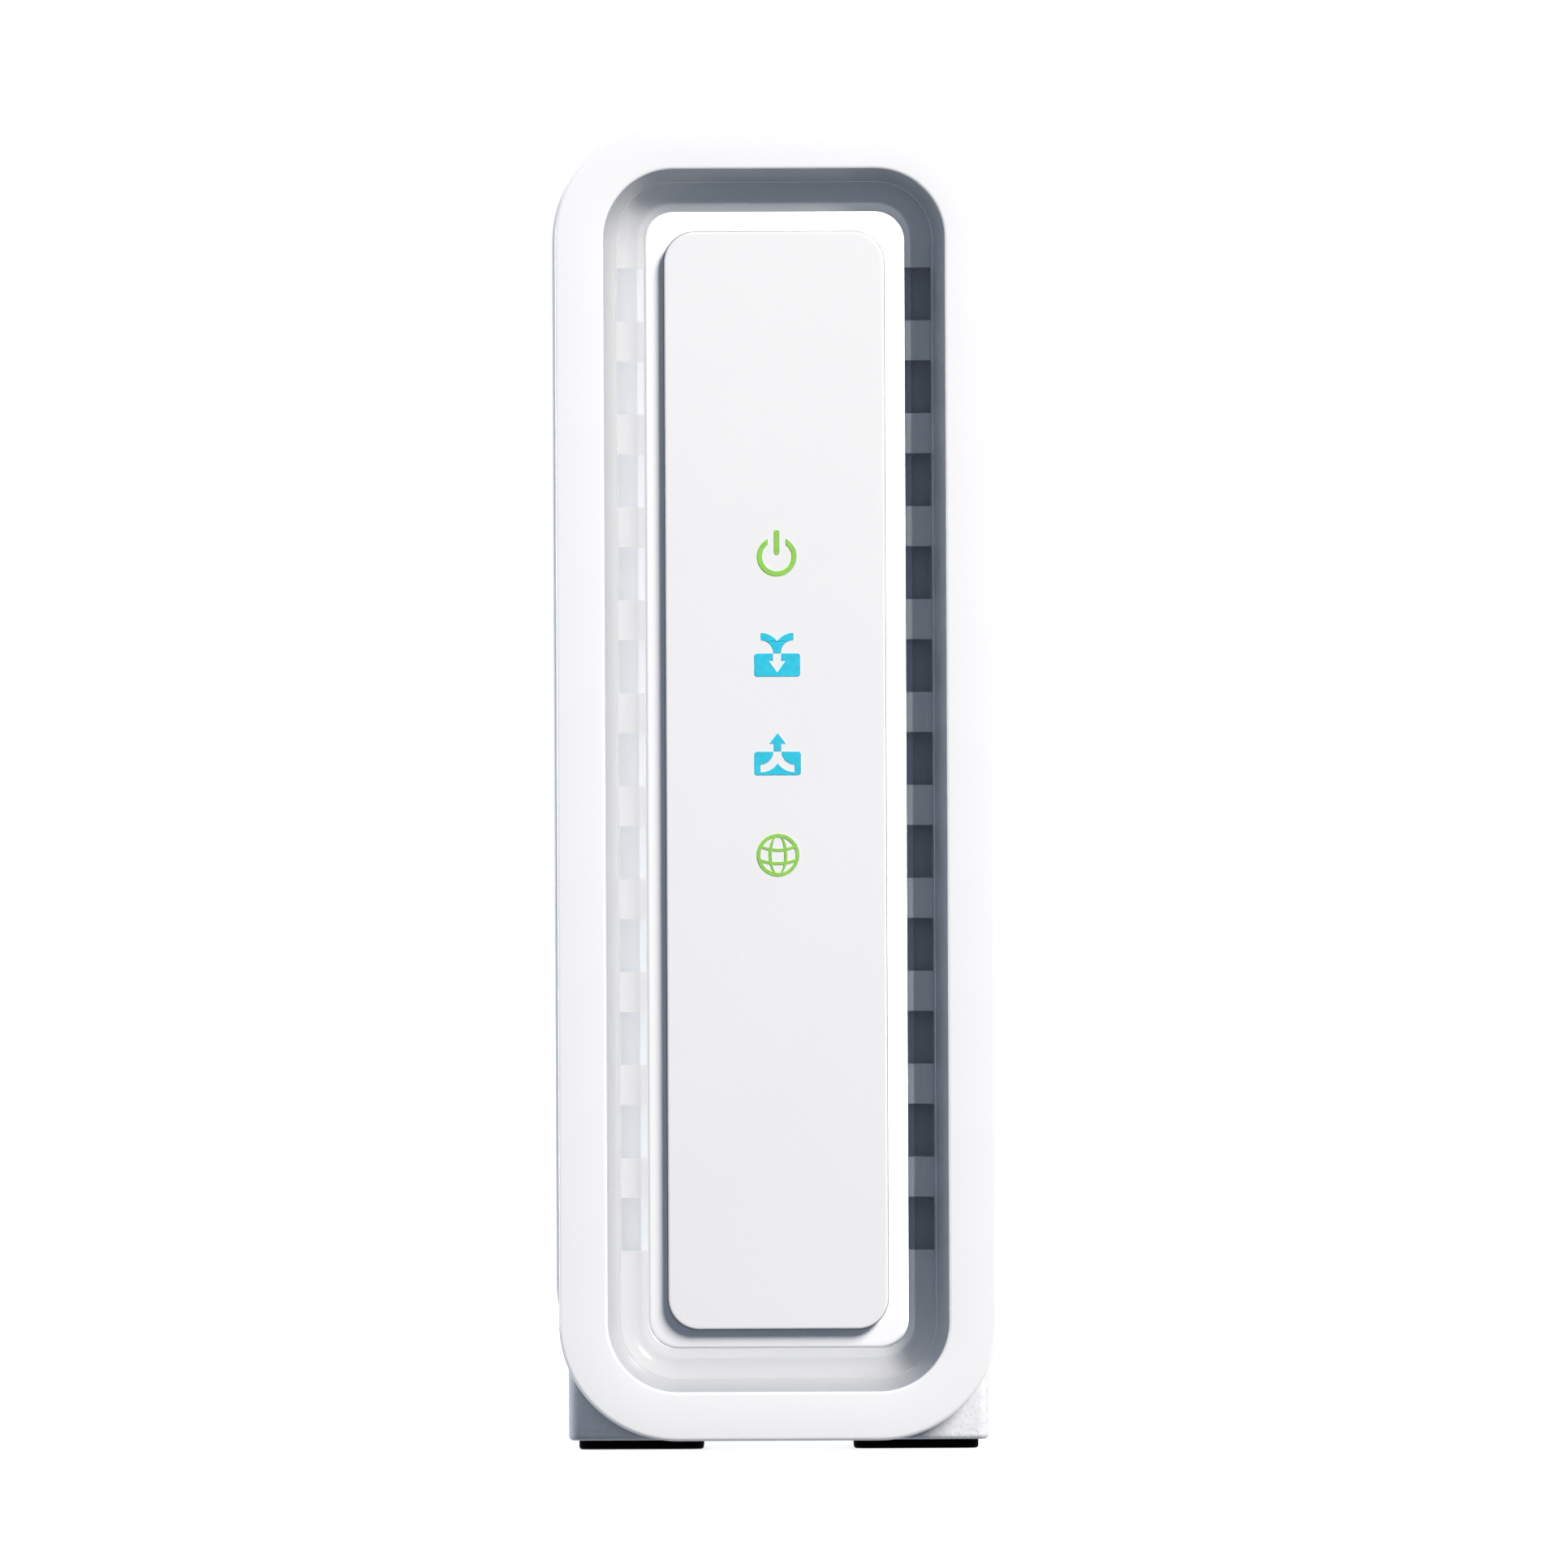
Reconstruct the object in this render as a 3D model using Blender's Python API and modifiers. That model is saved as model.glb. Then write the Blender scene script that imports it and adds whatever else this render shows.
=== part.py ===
"""Slim upright cable modem on a plinth with rubber feet, as an assembly of separate pieces.

Units are metres. The modem stands on z = 0 with +Z up. Its front faces -Y, and +X is to the
right seen from the front. x = 0 is the middle of its width, and y = 0 the middle of its depth,
which runs from the face of the bezel to the end of the coax connector.

Outlines are drawn flat, in local x and y, with local z as their thickness. Three rotations
stand them up: TO_FRONT for the front pieces, TO_BACK for the connectors and TO_RIGHT for what
sits on the main board.
"""

import math

import bmesh
import bpy
from mathutils import Euler, Matrix

GAP = 0.0003  # clearance between pieces that touch
DEEP = 0.02  # how far a cutter runs past the wall that it cuts
FINE_EDGE = 0.0001
SMALL_EDGE = 0.0002
BLOCK_EDGE = 0.0004

# Whole modem
DEPTH = 0.1330
FRONT_Y = -DEPTH / 2
BACK_Y = DEPTH / 2

# Front bezel: a flat-faced ring, with a leaning inner wall
BEZEL_WIDTH = 0.0439
BEZEL_HEIGHT = 0.1320
BEZEL_BOTTOM = 0.00095
BEZEL_RADIUS = 0.0119
BEZEL_DEPTH = 0.0067
BEZEL_THICKNESS = 0.0019
RING_WIDTH = 0.0049
OUTER_EDGE = 0.0004
INNER_EDGE = 0.00035
WALL_LEAN = 0.00125
WALL_DEPTH = 0.0039
WALL_THICKNESS = 0.0016
FRONT_Z = BEZEL_BOTTOM + BEZEL_HEIGHT / 2
OPENING = (BEZEL_WIDTH - 2 * RING_WIDTH, BEZEL_HEIGHT - 2 * RING_WIDTH, BEZEL_RADIUS - RING_WIDTH)
SNAP_SIZE = (0.0012, 0.0097, 0.0100)  # thickness, length, width
SNAP_HEIGHTS = (0.030, 0.067, 0.104)

# Channel floor with its vents, and the island that carries the face plate
CHANNEL_TOP = -(WALL_DEPTH + GAP)
FLOOR_DEPTH = 0.0061
FLOOR_THICKNESS = 0.0016
FLANGE = 0.0012
COVE_WIDTH = 0.0023
COVE_BACK_END = -27  # degrees round its back, where the cove meets the flange
ISLAND = (0.0261, 0.1137, 0.0030)
ISLAND_FRONT = -0.0009
ISLAND_BACK = -0.0077
ISLAND_EDGE = 0.00025
ISLAND_OVERLAP = 0.0006  # how far the channel reaches into the island, to join it
VENT_COUNT = 11
VENT_PITCH = 0.0093
VENT_HEIGHT = 0.0053
VENT_WIDTH = 0.0026
VENT_MIDDLE_Z = 0.0691

# Baffle behind each row of vents: air turns sideways past it into the housing
BAFFLE_LEDGE = ((0.0128, 0.0137), (-0.0096, -0.0072))  # its reach in x, and back and front
BAFFLE_PLATE = ((0.0133, 0.0162), (-0.0097, -0.0085))
BAFFLE_MARGIN = 0.0010  # past the end vents

# Seat of the face plate in the island
SEAT_FLOOR = -0.0026
SEAT_THICKNESS = 0.0015

# Face plate
PLATE = (0.0220, 0.1097, 0.0031)
PLATE_FRONT = -0.0003
PLATE_BACK = -0.0023
PLATE_EDGE = 0.0004
PLATE_WEB = 0.0008  # what is left in front of each light guide

# Lights
LIGHTS = {"power": 0.0895, "receive": 0.0795, "send": 0.0695, "online": 0.0595}
GUIDE_RADIUS = 0.0023
GUIDE_HOLE = 0.0030
GUIDE_START_Y = FRONT_Y - PLATE_FRONT + PLATE_WEB + GAP
GUIDE_BEND_Y = -0.0570
GUIDE_BEND_LENGTH = 0.0080
GUIDE_END_Y = -0.0466
GUIDE_SIDESTEP = -0.0050
GUIDE_BEND_STEPS = 6
BRACKET_SIZE = (0.0250, 0.0430, 0.0020)
LED_SIZE = (0.0018, 0.0030, 0.0022)

# Housing shells
SHELL_WIDTH = 0.0444
SHELL_TOP = 0.1331
SHELL_BOTTOM = 0.0045
SHELL_RADIUS = 0.0123
SHELL_WALL = 0.0020
SHELL_FRONT_Y = FRONT_Y + 0.0070
SHELL_BACK_Y = BACK_Y - 0.0095
SHELL_Z = (SHELL_TOP + SHELL_BOTTOM) / 2
REAR_EDGE_RADIUS = 0.0015
FRONT_CHAMFER = 0.0003
LIP_WIDTH = 0.0012  # past the wall's inside
LIP_DEPTH = 0.0015

# Lap along the shells' seam: the left shell's tongue lies in the right shell's rebate
TONGUE_REACH = 0.0012
TONGUE_ROOT = 0.0006
TONGUE_Z = (0.00005, 0.00085)  # from the wall's inside
REBATE_CUT = 0.0010  # how far the rebate's cutter runs past the wall's inside
LAP_Y = (SHELL_FRONT_Y + 0.0022, 0.0490)

# Rear panel, in the slot between the shells' rear lip and their ledge
PANEL_THICKNESS = 0.0020
PANEL_OUTSIDE_Y = SHELL_BACK_Y - LIP_DEPTH - GAP
PANEL_INSIDE_Y = PANEL_OUTSIDE_Y - PANEL_THICKNESS
PANEL_INSET = SHELL_WALL + GAP
REAR_VENT_COUNT = 6
REAR_VENT_SIZE = (0.0260, 0.0024)
REAR_VENT_RADIUS = 0.00115
REAR_VENT_PITCH = 0.0042
REAR_VENT_MIDDLE_Z = 0.1130

# Base and feet
BASE_WIDTH = 0.0421
BASE_BOTTOM = 0.00095
BASE_TOP = 0.0096
BASE_FRONT_Y = SHELL_FRONT_Y
BASE_BACK_Y = 0.0550
BASE_EDGE = 0.0005
FOOT_SIZE = (0.0125, 0.0180, 0.0012)
FOOT_RADIUS = 0.0015
FOOT_X = 0.01375
FOOT_Y = {"front": -0.0470, "rear": 0.0440}
FOOT_RECESS = BASE_BOTTOM + 0.00055

# Screws, their bosses and their holes
SCREW_RADIUS = 0.0013
SCREW_HOLE = 0.0016
HEAD_RADIUS = 0.0027
HEAD_HEIGHT = 0.0015
HEAD_RIM = 1 / 3  # of its height
SCREW_TIP = 1.5  # of its shank's radius
BOSS_RADIUS = 0.0032
BOSS_FLOOR = SHELL_BOTTOM + SHELL_WALL * 3 / 4
BASE_BOSS_TOP = 0.0130
BASE_SCREW_X = 0.0120
BASE_SCREW_TOP = 0.0115
HEAD_ROOM = HEAD_HEIGHT + GAP

# Main board, upright and parallel to the sides
BOARD_BACK_X = -0.0086
BOARD_FACE_X = -0.0070
BOARD_Y = (-0.0460, 0.0510)
BOARD_Z = (0.0140, 0.1200)
BOARD_RADIUS = 0.0010
BOARD_SCREWS = ((-0.042, 0.018), (-0.042, 0.116), (0.044, 0.116), (0.044, 0.034))
BOARD_SCREW_LENGTH = 0.0090
ON_BOARD_X = BOARD_FACE_X + GAP

# Processor, its pad and its heat sink
PROCESSOR_YZ = (-0.0080, 0.0720)
PROCESSOR_SIZE = (0.0210, 0.0210, 0.0019)
PAD_SIZE = (0.0180, 0.0180, 0.0008)
PAD_X = ON_BOARD_X + PROCESSOR_SIZE[2] + GAP
SINK_X = PAD_X + PAD_SIZE[2] + GAP
SINK_SIZE = (0.0440, 0.0620, 0.0025)
SINK_TAB = 0.0070
SINK_CUT = 0.0002  # how far the tabs are milled below the base's face
FIN_COUNT = 8
FIN_THICKNESS = 0.0014
FIN_HEIGHT = 0.0140
PIN_REACH = 0.0270
PIN_RADIUS = 0.0012
PIN_HOLE = 0.0016

# Rear connectors share one line at x = 0
POWER_Z = 0.0220
COAX_Z = 0.0460
ETHERNET_Z = 0.0700
RESET_XZ = (-0.0045, 0.0900)
JACK_FACE_Y = PANEL_OUTSIDE_Y + 0.0008

POWER_JACK_SIZE = (0.0115, 0.0094, 0.0140)
POWER_BORE_RADIUS = 0.0032
POWER_BORE_DEPTH = 0.0095
POWER_PIN_RADIUS = 0.0010
POWER_PIN_SHORT = 0.0010  # behind the jack's face

COAX_BLOCK_SIZE = (0.0127, 0.0126, 0.0134)
COAX_BLOCK_EDGE = 0.0006
COAX_RADIUS = 0.0047
COAX_ROOT = 0.0042
COAX_NECK_RADIUS = 0.0045
COAX_HOLE_RADIUS = 0.0051
COAX_BORE_RADIUS = 0.0030
COAX_BORE_DEPTH = 0.0095
COAX_CHAMFER = 0.0003
COAX_THREAD_START_Y = PANEL_OUTSIDE_Y + 0.0012
COAX_RIDGES = 12
INSULATOR_SHORT = 0.0008
INSULATOR_HOLE = 0.0008
INSULATOR_HOLE_DEPTH = 0.0040
WASHER_RADIUS = 0.0068
WASHER_THICKNESS = 0.0006
NUT_FLATS = 0.0127
NUT_THICKNESS = 0.0024

ETHERNET_SIZE = (0.0134, 0.0160, 0.0213)
ETHERNET_SHIELD_WALL = 0.0005
ETHERNET_INSET = ETHERNET_SHIELD_WALL + GAP
PLUG_CAVITY = (0.0070, 0.0118, 0.0120)
PLUG_CAVITY_X = 0.0003
LATCH_SLOTS = ((0.0015, 0.0062), (0.0022, 0.0034))  # how far each reaches, and its width
CONTACT_COUNT = 8
CONTACT_PITCH = 0.00102
CONTACT_WIDTH = 0.0005
CONTACT_THICKNESS = 0.0004
CONTACT_LENGTH = 0.0070
CONTACT_BAR = 0.0015
TRANSFORMER_SIZE = (0.0120, 0.0160, 0.0060)
TRANSFORMER_Y = 0.0265
TRANSFORMER_EDGE = 0.0003

# Reset switch and its button, which slides along Y
SWITCH_SIZE = (0.0044, 0.0066, 0.0065)
SWITCH_FACE_Y = 0.0505
SWITCH_BORE_RADIUS = 0.0014
SWITCH_BORE_DEPTH = 0.0042
BUTTON_RADIUS = 0.0011
BUTTON_EDGE = 0.0004
BUTTON_COLLAR_RADIUS = 0.0018
BUTTON_COLLAR_LENGTH = 0.0007
BUTTON_INNER_LENGTH = 0.0030  # from the switch's face into its bore
BUTTON_COLLAR_GAP = 0.0008  # longer than the button's travel
BUTTON_END_Y = PANEL_OUTSIDE_Y - 0.0013
RESET_HOLE_RADIUS = 0.0016

# Tuner under its shield
TUNER_YZ = (0.0262, 0.0290)
FENCE_SIZE = (0.0200, 0.0220, 0.0032)
FENCE_WALL = 0.0006
LID_WALL = 0.0005
LID_SKIRT = 0.0030
TUNER_CHIP_SIZE = (0.0070, 0.0070, 0.0010)

# Other board parts: (y, z) of each
CHIPS = {
    "memory_chip_1": ((-0.0370, 0.0600), (0.0080, 0.0120, 0.0011)),
    "memory_chip_2": ((-0.0370, 0.0780), (0.0080, 0.0120, 0.0011)),
    "flash_chip": ((0.0040, 0.1120), (0.0060, 0.0080, 0.0015)),
}
CRYSTAL_YZ = (-0.0120, 0.1110)
CRYSTAL_SIZE = (0.0114, 0.0046, 0.0035)
CRYSTAL_RADIUS = 0.0022
CAPACITORS = ((0.0020, 0.0220), (-0.0100, 0.0220), (-0.0220, 0.0220))
CAPACITOR_RADIUS = 0.0040
CAPACITOR_HEIGHT = 0.0115
CAPACITOR_EDGE = 0.0006
INDUCTORS = ((-0.0040, 0.0350), (-0.0160, 0.0350))
INDUCTOR_SIZE = (0.0070, 0.0070, 0.0042)
INDUCTOR_EDGE = 0.0008

# Straight steps in a quarter of a corner, and round a whole turn
CORNER_STEPS = 8
EDGE_STEPS = 4
TINY_STEPS = 2
ROUND_STEPS = 24
CAN_STEPS = 16
SMALL_ROUND_STEPS = 12
SHARP = math.radians(40)  # edges that turn by more than this are bevelled
WELD = 1e-6

TO_FRONT = Euler((math.pi / 2, 0, 0))  # local z looks out of the front, local y is up
TO_BACK = Euler((-math.pi / 2, 0, 0))  # local z looks out of the back
TO_RIGHT = Matrix(((0, 0, 1), (1, 0, 0), (0, 1, 0))).to_euler()  # local z is +X, local x is +Y
UPRIGHT = Euler((0, 0, 0))

MATERIALS = {
    "gloss_white": ((0.93, 0.94, 0.95, 1), 0.16, 0.0),
    "satin_white": ((0.90, 0.91, 0.93, 1), 0.40, 0.0),
    "shell_white": ((0.88, 0.89, 0.90, 1), 0.48, 0.0),
    "base_white": ((0.80, 0.81, 0.83, 1), 0.60, 0.0),
    "rubber": ((0.02, 0.02, 0.02, 1), 0.75, 0.0),
    "green_light": ((0.42, 0.78, 0.20, 1), 0.30, 0.0),
    "cyan_light": ((0.08, 0.66, 0.86, 1), 0.30, 0.0),
    "rear_white": ((0.84, 0.85, 0.86, 1), 0.55, 0.0),
    "board_green": ((0.03, 0.20, 0.10, 1), 0.45, 0.0),
    "chip_black": ((0.03, 0.03, 0.035, 1), 0.50, 0.0),
    "thermal_pad": ((0.45, 0.55, 0.70, 1), 0.80, 0.0),
    "aluminium": ((0.72, 0.73, 0.75, 1), 0.35, 1.0),
    "tinned_steel": ((0.68, 0.68, 0.70, 1), 0.28, 1.0),
    "nickel": ((0.75, 0.74, 0.71, 1), 0.22, 1.0),
    "gold": ((0.86, 0.66, 0.28, 1), 0.25, 1.0),
    "black_plastic": ((0.025, 0.025, 0.03, 1), 0.42, 0.0),
    "white_insulator": ((0.88, 0.87, 0.83, 1), 0.45, 0.0),
    "screw_steel": ((0.55, 0.56, 0.58, 1), 0.30, 1.0),
}


# Outlines, as lists of (x, y)


def arc(centre, radii, start, end, steps):
    """Points on an ellipse from one angle in degrees to another, both ends included."""
    points = []
    for step in range(steps + 1):
        angle = math.radians(start + (end - start) * step / steps)
        x = centre[0] + radii[0] * math.cos(angle)
        y = centre[1] + radii[1] * math.sin(angle)
        points.append((x, y))
    return points


def rounded_outline(width, height, radius, steps=CORNER_STEPS):
    """A rectangle with round corners, centred on the origin, anticlockwise."""
    points = []
    x = width / 2 - radius
    y = height / 2 - radius
    for quarter, corner in enumerate(((x, y), (-x, y), (-x, -y), (x, -y))):
        start = 90 * quarter
        points += arc(corner, (radius, radius), start, start + 90, steps)
    return points


def box_outline(width, height):
    x = width / 2
    y = height / 2
    return [(x, y), (-x, y), (-x, -y), (x, -y)]


def half_outline(width, height, radius, seam):
    """The right half of a rounded rectangle, as an open line from its bottom seam to its top."""
    x = width / 2 - radius
    y = height / 2 - radius
    points = [(seam, -height / 2)]
    points += arc((x, -y), (radius, radius), -90, 0, CORNER_STEPS)
    points += arc((x, y), (radius, radius), 0, 90, CORNER_STEPS)
    points.append((seam, height / 2))
    return points


def circle(radius, steps=ROUND_STEPS, centre=(0, 0)):
    return arc(centre, (radius, radius), 0, 360 * (steps - 1) / steps, steps - 1)


def moved(points, x, y):
    return [(px + x, py + y) for px, py in points]


# Scene, materials and placing


def clear_scene():
    for old in list(bpy.data.objects):
        bpy.data.objects.remove(old, do_unlink=True)


def new_collection(name):
    made = bpy.data.collections.new(name)
    bpy.context.scene.collection.children.link(made)
    return made


def new_material(name, color, roughness, metallic):
    made = bpy.data.materials.new(name)
    made.use_nodes = True
    shader = made.node_tree.nodes["Principled BSDF"]
    shader.inputs["Base Color"].default_value = color
    shader.inputs["Roughness"].default_value = roughness
    shader.inputs["Metallic"].default_value = metallic
    made.diffuse_color = color
    return made


def add_part(name, mesh, material, at=(0, 0, 0), turn=UPRIGHT):
    """Add one piece of the modem, held by the assembly's empty."""
    part = bpy.data.objects.new(name, mesh)
    part.location = at
    part.rotation_euler = turn
    part.parent = assembly
    mesh.materials.append(materials[material])
    parts.objects.link(part)
    return part


def add_tool(name, mesh, at=(0, 0, 0), turn=UPRIGHT):
    """Add a helper shape for a Boolean, which is no piece of the modem."""
    tool = bpy.data.objects.new(name, mesh)
    tool.location = at
    tool.rotation_euler = turn
    tool.hide_render = True
    tool.display_type = "WIRE"
    cutters.objects.link(tool)
    return tool


def boolean(part, tool, operation, solver="EXACT"):
    modifier = part.modifiers.new(tool.name, "BOOLEAN")
    modifier.operation = operation
    modifier.solver = solver
    modifier.object = tool


def bevel(part, width, segments=2):
    modifier = part.modifiers.new("edges", "BEVEL")
    modifier.width = width
    modifier.segments = segments
    modifier.limit_method = "ANGLE"
    modifier.angle_limit = SHARP


# Meshes


def finished(bm, name):
    """Weld the loose seams, split the caps, turn the faces outwards and hand back the mesh."""
    bmesh.ops.remove_doubles(bm, verts=bm.verts, dist=WELD)
    bmesh.ops.triangulate(bm, faces=[face for face in bm.faces if len(face.verts) > 4])
    bmesh.ops.recalc_face_normals(bm, faces=bm.faces)
    mesh = bpy.data.meshes.new(name)
    bm.to_mesh(mesh)
    bm.free()
    return mesh


def mesh_of_curve(curve, name):
    """The mesh that a curve makes, with its caps welded on."""
    helper = bpy.data.objects.new(name, curve)
    bpy.context.scene.collection.objects.link(helper)
    graph = bpy.context.evaluated_depsgraph_get()
    raw = bpy.data.meshes.new_from_object(helper.evaluated_get(graph))
    bm = bmesh.new()
    bm.from_mesh(raw)
    bpy.data.objects.remove(helper)
    bpy.data.meshes.remove(raw)
    return finished(bm, name)


def curve_line(curve, points, closed):
    """Add one straight-edged line to a curve, through points of two or three coordinates."""
    line = curve.splines.new("POLY")
    line.points.add(len(points) - 1)
    for spot, point in zip(line.points, points):
        spot.co = (*point, 0, 1) if len(point) == 2 else (*point, 1)
    line.use_cyclic_u = closed


def prism(name, outline, low, high, holes=()):
    """A flat outline with its holes, thickened from local z = low to z = high."""
    curve = bpy.data.curves.new(name, "CURVE")
    curve.dimensions = "2D"
    curve.fill_mode = "BOTH"
    curve.extrude = (high - low) / 2
    for line in (outline, *holes):
        curve_line(curve, line, True)
    mesh = mesh_of_curve(curve, name)
    mesh.transform(Matrix.Translation((0, 0, (high + low) / 2)))
    return mesh


def swept(name, path, section, closed=True):
    """Carry a closed section round an anticlockwise path.

    The section's x points out of the path, and its y is local z.
    """
    profile = bpy.data.curves.new(name + "_section", "CURVE")
    profile.dimensions = "2D"
    curve_line(profile, section, True)
    guide = bpy.data.objects.new(name + "_section", profile)
    curve = bpy.data.curves.new(name, "CURVE")
    curve.dimensions = "3D"
    curve.twist_mode = "Z_UP"
    curve.bevel_mode = "OBJECT"
    curve.bevel_object = guide
    curve.use_fill_caps = not closed
    curve_line(curve, path, closed)
    mesh = mesh_of_curve(curve, name)
    bpy.data.objects.remove(guide)
    return mesh


def box(name, size, low_z=None):
    """A box centred on the origin, or standing on local z = low_z."""
    bm = bmesh.new()
    bmesh.ops.create_cube(bm, size=1)
    bmesh.ops.scale(bm, vec=size, verts=bm.verts)
    if low_z is not None:
        bmesh.ops.translate(bm, vec=(0, 0, low_z + size[2] / 2), verts=bm.verts)
    return finished(bm, name)


def boxes(name, sizes_and_centres):
    """Several separate boxes in one mesh, for cutting a row of openings."""
    bm = bmesh.new()
    for size, centre in sizes_and_centres:
        made = bmesh.ops.create_cube(bm, size=1)["verts"]
        bmesh.ops.scale(bm, vec=size, verts=made)
        bmesh.ops.translate(bm, vec=centre, verts=made)
    return finished(bm, name)


def rods(name, radius, low, high, centres, steps=SMALL_ROUND_STEPS):
    """Round rods along local z, in one mesh, one at each (x, y)."""
    bm = bmesh.new()
    for x, y in centres:
        made = bmesh.ops.create_cone(
            bm, cap_ends=True, segments=steps, radius1=radius, radius2=radius, depth=high - low
        )
        bmesh.ops.translate(bm, vec=(x, y, (high + low) / 2), verts=made["verts"])
    return finished(bm, name)


def line_mesh(name, points):
    """A chain of edges in the XZ plane, for the Screw modifier."""
    bm = bmesh.new()
    spots = [bm.verts.new((x, 0, z)) for x, z in points]
    for first, second in zip(spots, spots[1:]):
        bm.edges.new((first, second))
    mesh = bpy.data.meshes.new(name)
    bm.to_mesh(mesh)
    bm.free()
    return mesh


def turn_profile(part, steps=ROUND_STEPS):
    """Turn a profile once round local z. It runs down its outer side, from top to bottom."""
    modifier = part.modifiers.new("turned", "SCREW")
    modifier.steps = steps
    modifier.render_steps = steps
    modifier.use_merge_vertices = True
    modifier.merge_threshold = WELD
    return part


def open_box(name, size, open_sides):
    """The skin of a box on local z = 0, without the sides whose outward normals are given."""
    bm = bmesh.new()
    bmesh.ops.create_cube(bm, size=1)
    bmesh.ops.scale(bm, vec=size, verts=bm.verts)
    bmesh.ops.translate(bm, vec=(0, 0, size[2] / 2), verts=bm.verts)
    bm.normal_update()
    gone = []
    for face in bm.faces:
        if tuple(round(part) for part in face.normal) in open_sides:
            gone.append(face)
    bmesh.ops.delete(bm, geom=gone, context="FACES")
    mesh = bpy.data.meshes.new(name)
    bm.to_mesh(mesh)
    bm.free()
    return mesh


def solidify(part, thickness):
    modifier = part.modifiers.new("wall", "SOLIDIFY")
    modifier.thickness = thickness
    modifier.offset = -1
    modifier.use_even_offset = True


# Front: bezel, channel, face plate


def bezel_section():
    """The ring's cross-section: x from its inner edge outwards, y forward from its face."""
    points = arc((RING_WIDTH - OUTER_EDGE, -OUTER_EDGE), (OUTER_EDGE, OUTER_EDGE), 0, 90, EDGE_STEPS)
    points += arc((INNER_EDGE, -INNER_EDGE), (INNER_EDGE, INNER_EDGE), 90, 180, EDGE_STEPS)
    points.append((-WALL_LEAN, -WALL_DEPTH))
    points.append((WALL_THICKNESS - WALL_LEAN, -WALL_DEPTH))
    points.append((WALL_THICKNESS, -BEZEL_THICKNESS))
    points.append((RING_WIDTH - BEZEL_THICKNESS, -BEZEL_THICKNESS))
    points.append((RING_WIDTH - BEZEL_THICKNESS, -BEZEL_DEPTH))
    points.append((RING_WIDTH, -BEZEL_DEPTH))
    return points


def snap_boxes():
    """Snap tabs inside the bezel's outer wall, which reach into the shells."""
    thickness, length, width = SNAP_SIZE
    inside_wall = SHELL_WALL + GAP + thickness / 2
    x = SHELL_WIDTH / 2 - inside_wall
    z = SHELL_TOP - inside_wall
    y = FRONT_Y + BEZEL_THICKNESS - 2 * GAP + length / 2
    for side in (-1, 1):
        for height in SNAP_HEIGHTS:
            yield (thickness, length, width), (side * x, y, height)
    yield (width, length, thickness), (0, y, z)


def make_bezel():
    mesh = swept("front_bezel", rounded_outline(*OPENING), bezel_section())
    bezel = add_part("front_bezel", mesh, "gloss_white", (0, FRONT_Y, FRONT_Z), TO_FRONT)
    boolean(bezel, add_tool("bezel_snaps", boxes("bezel_snaps", snap_boxes())), "UNION")


def channel_section():
    """The channel's cove and the flange behind the bezel's wall, in the bezel's coordinates."""
    middle = (-WALL_LEAN - COVE_WIDTH, CHANNEL_TOP)
    front = (COVE_WIDTH, FLOOR_DEPTH + CHANNEL_TOP)
    back = (COVE_WIDTH + FLOOR_THICKNESS, front[1] + FLOOR_THICKNESS)
    inner_end = ISLAND[0] / 2 - OPENING[0] / 2 - ISLAND_OVERLAP
    points = [(FLANGE, CHANNEL_TOP)]
    points += arc(middle, front, 0, -90, EDGE_STEPS)
    points.append((inner_end, -FLOOR_DEPTH))
    points.append((inner_end, ISLAND_BACK))
    points += arc(middle, back, -90, COVE_BACK_END, EDGE_STEPS)
    points.append((FLANGE, CHANNEL_TOP - FLOOR_THICKNESS))
    return points


def vent_boxes():
    """One cutter for each vent, from the bezel's wall to the island's side."""
    x = ISLAND[0] / 2 + VENT_WIDTH / 2
    first = VENT_MIDDLE_Z - FRONT_Z - VENT_PITCH * (VENT_COUNT - 1) / 2
    for side in (-1, 1):
        for row in range(VENT_COUNT):
            centre = (side * x, first + row * VENT_PITCH, CHANNEL_TOP - DEEP / 2 + GAP)
            yield (VENT_WIDTH, VENT_HEIGHT, DEEP), centre


def baffle_boxes():
    length = VENT_PITCH * (VENT_COUNT - 1) + VENT_HEIGHT + 2 * BAFFLE_MARGIN
    for side in (-1, 1):
        for (low_x, high_x), (back, front) in (BAFFLE_LEDGE, BAFFLE_PLATE):
            centre = (side * (low_x + high_x) / 2, VENT_MIDDLE_Z - FRONT_Z, (back + front) / 2)
            yield (high_x - low_x, length, front - back), centre


def light_centres():
    return [(0, height - FRONT_Z) for height in LIGHTS.values()]


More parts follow.
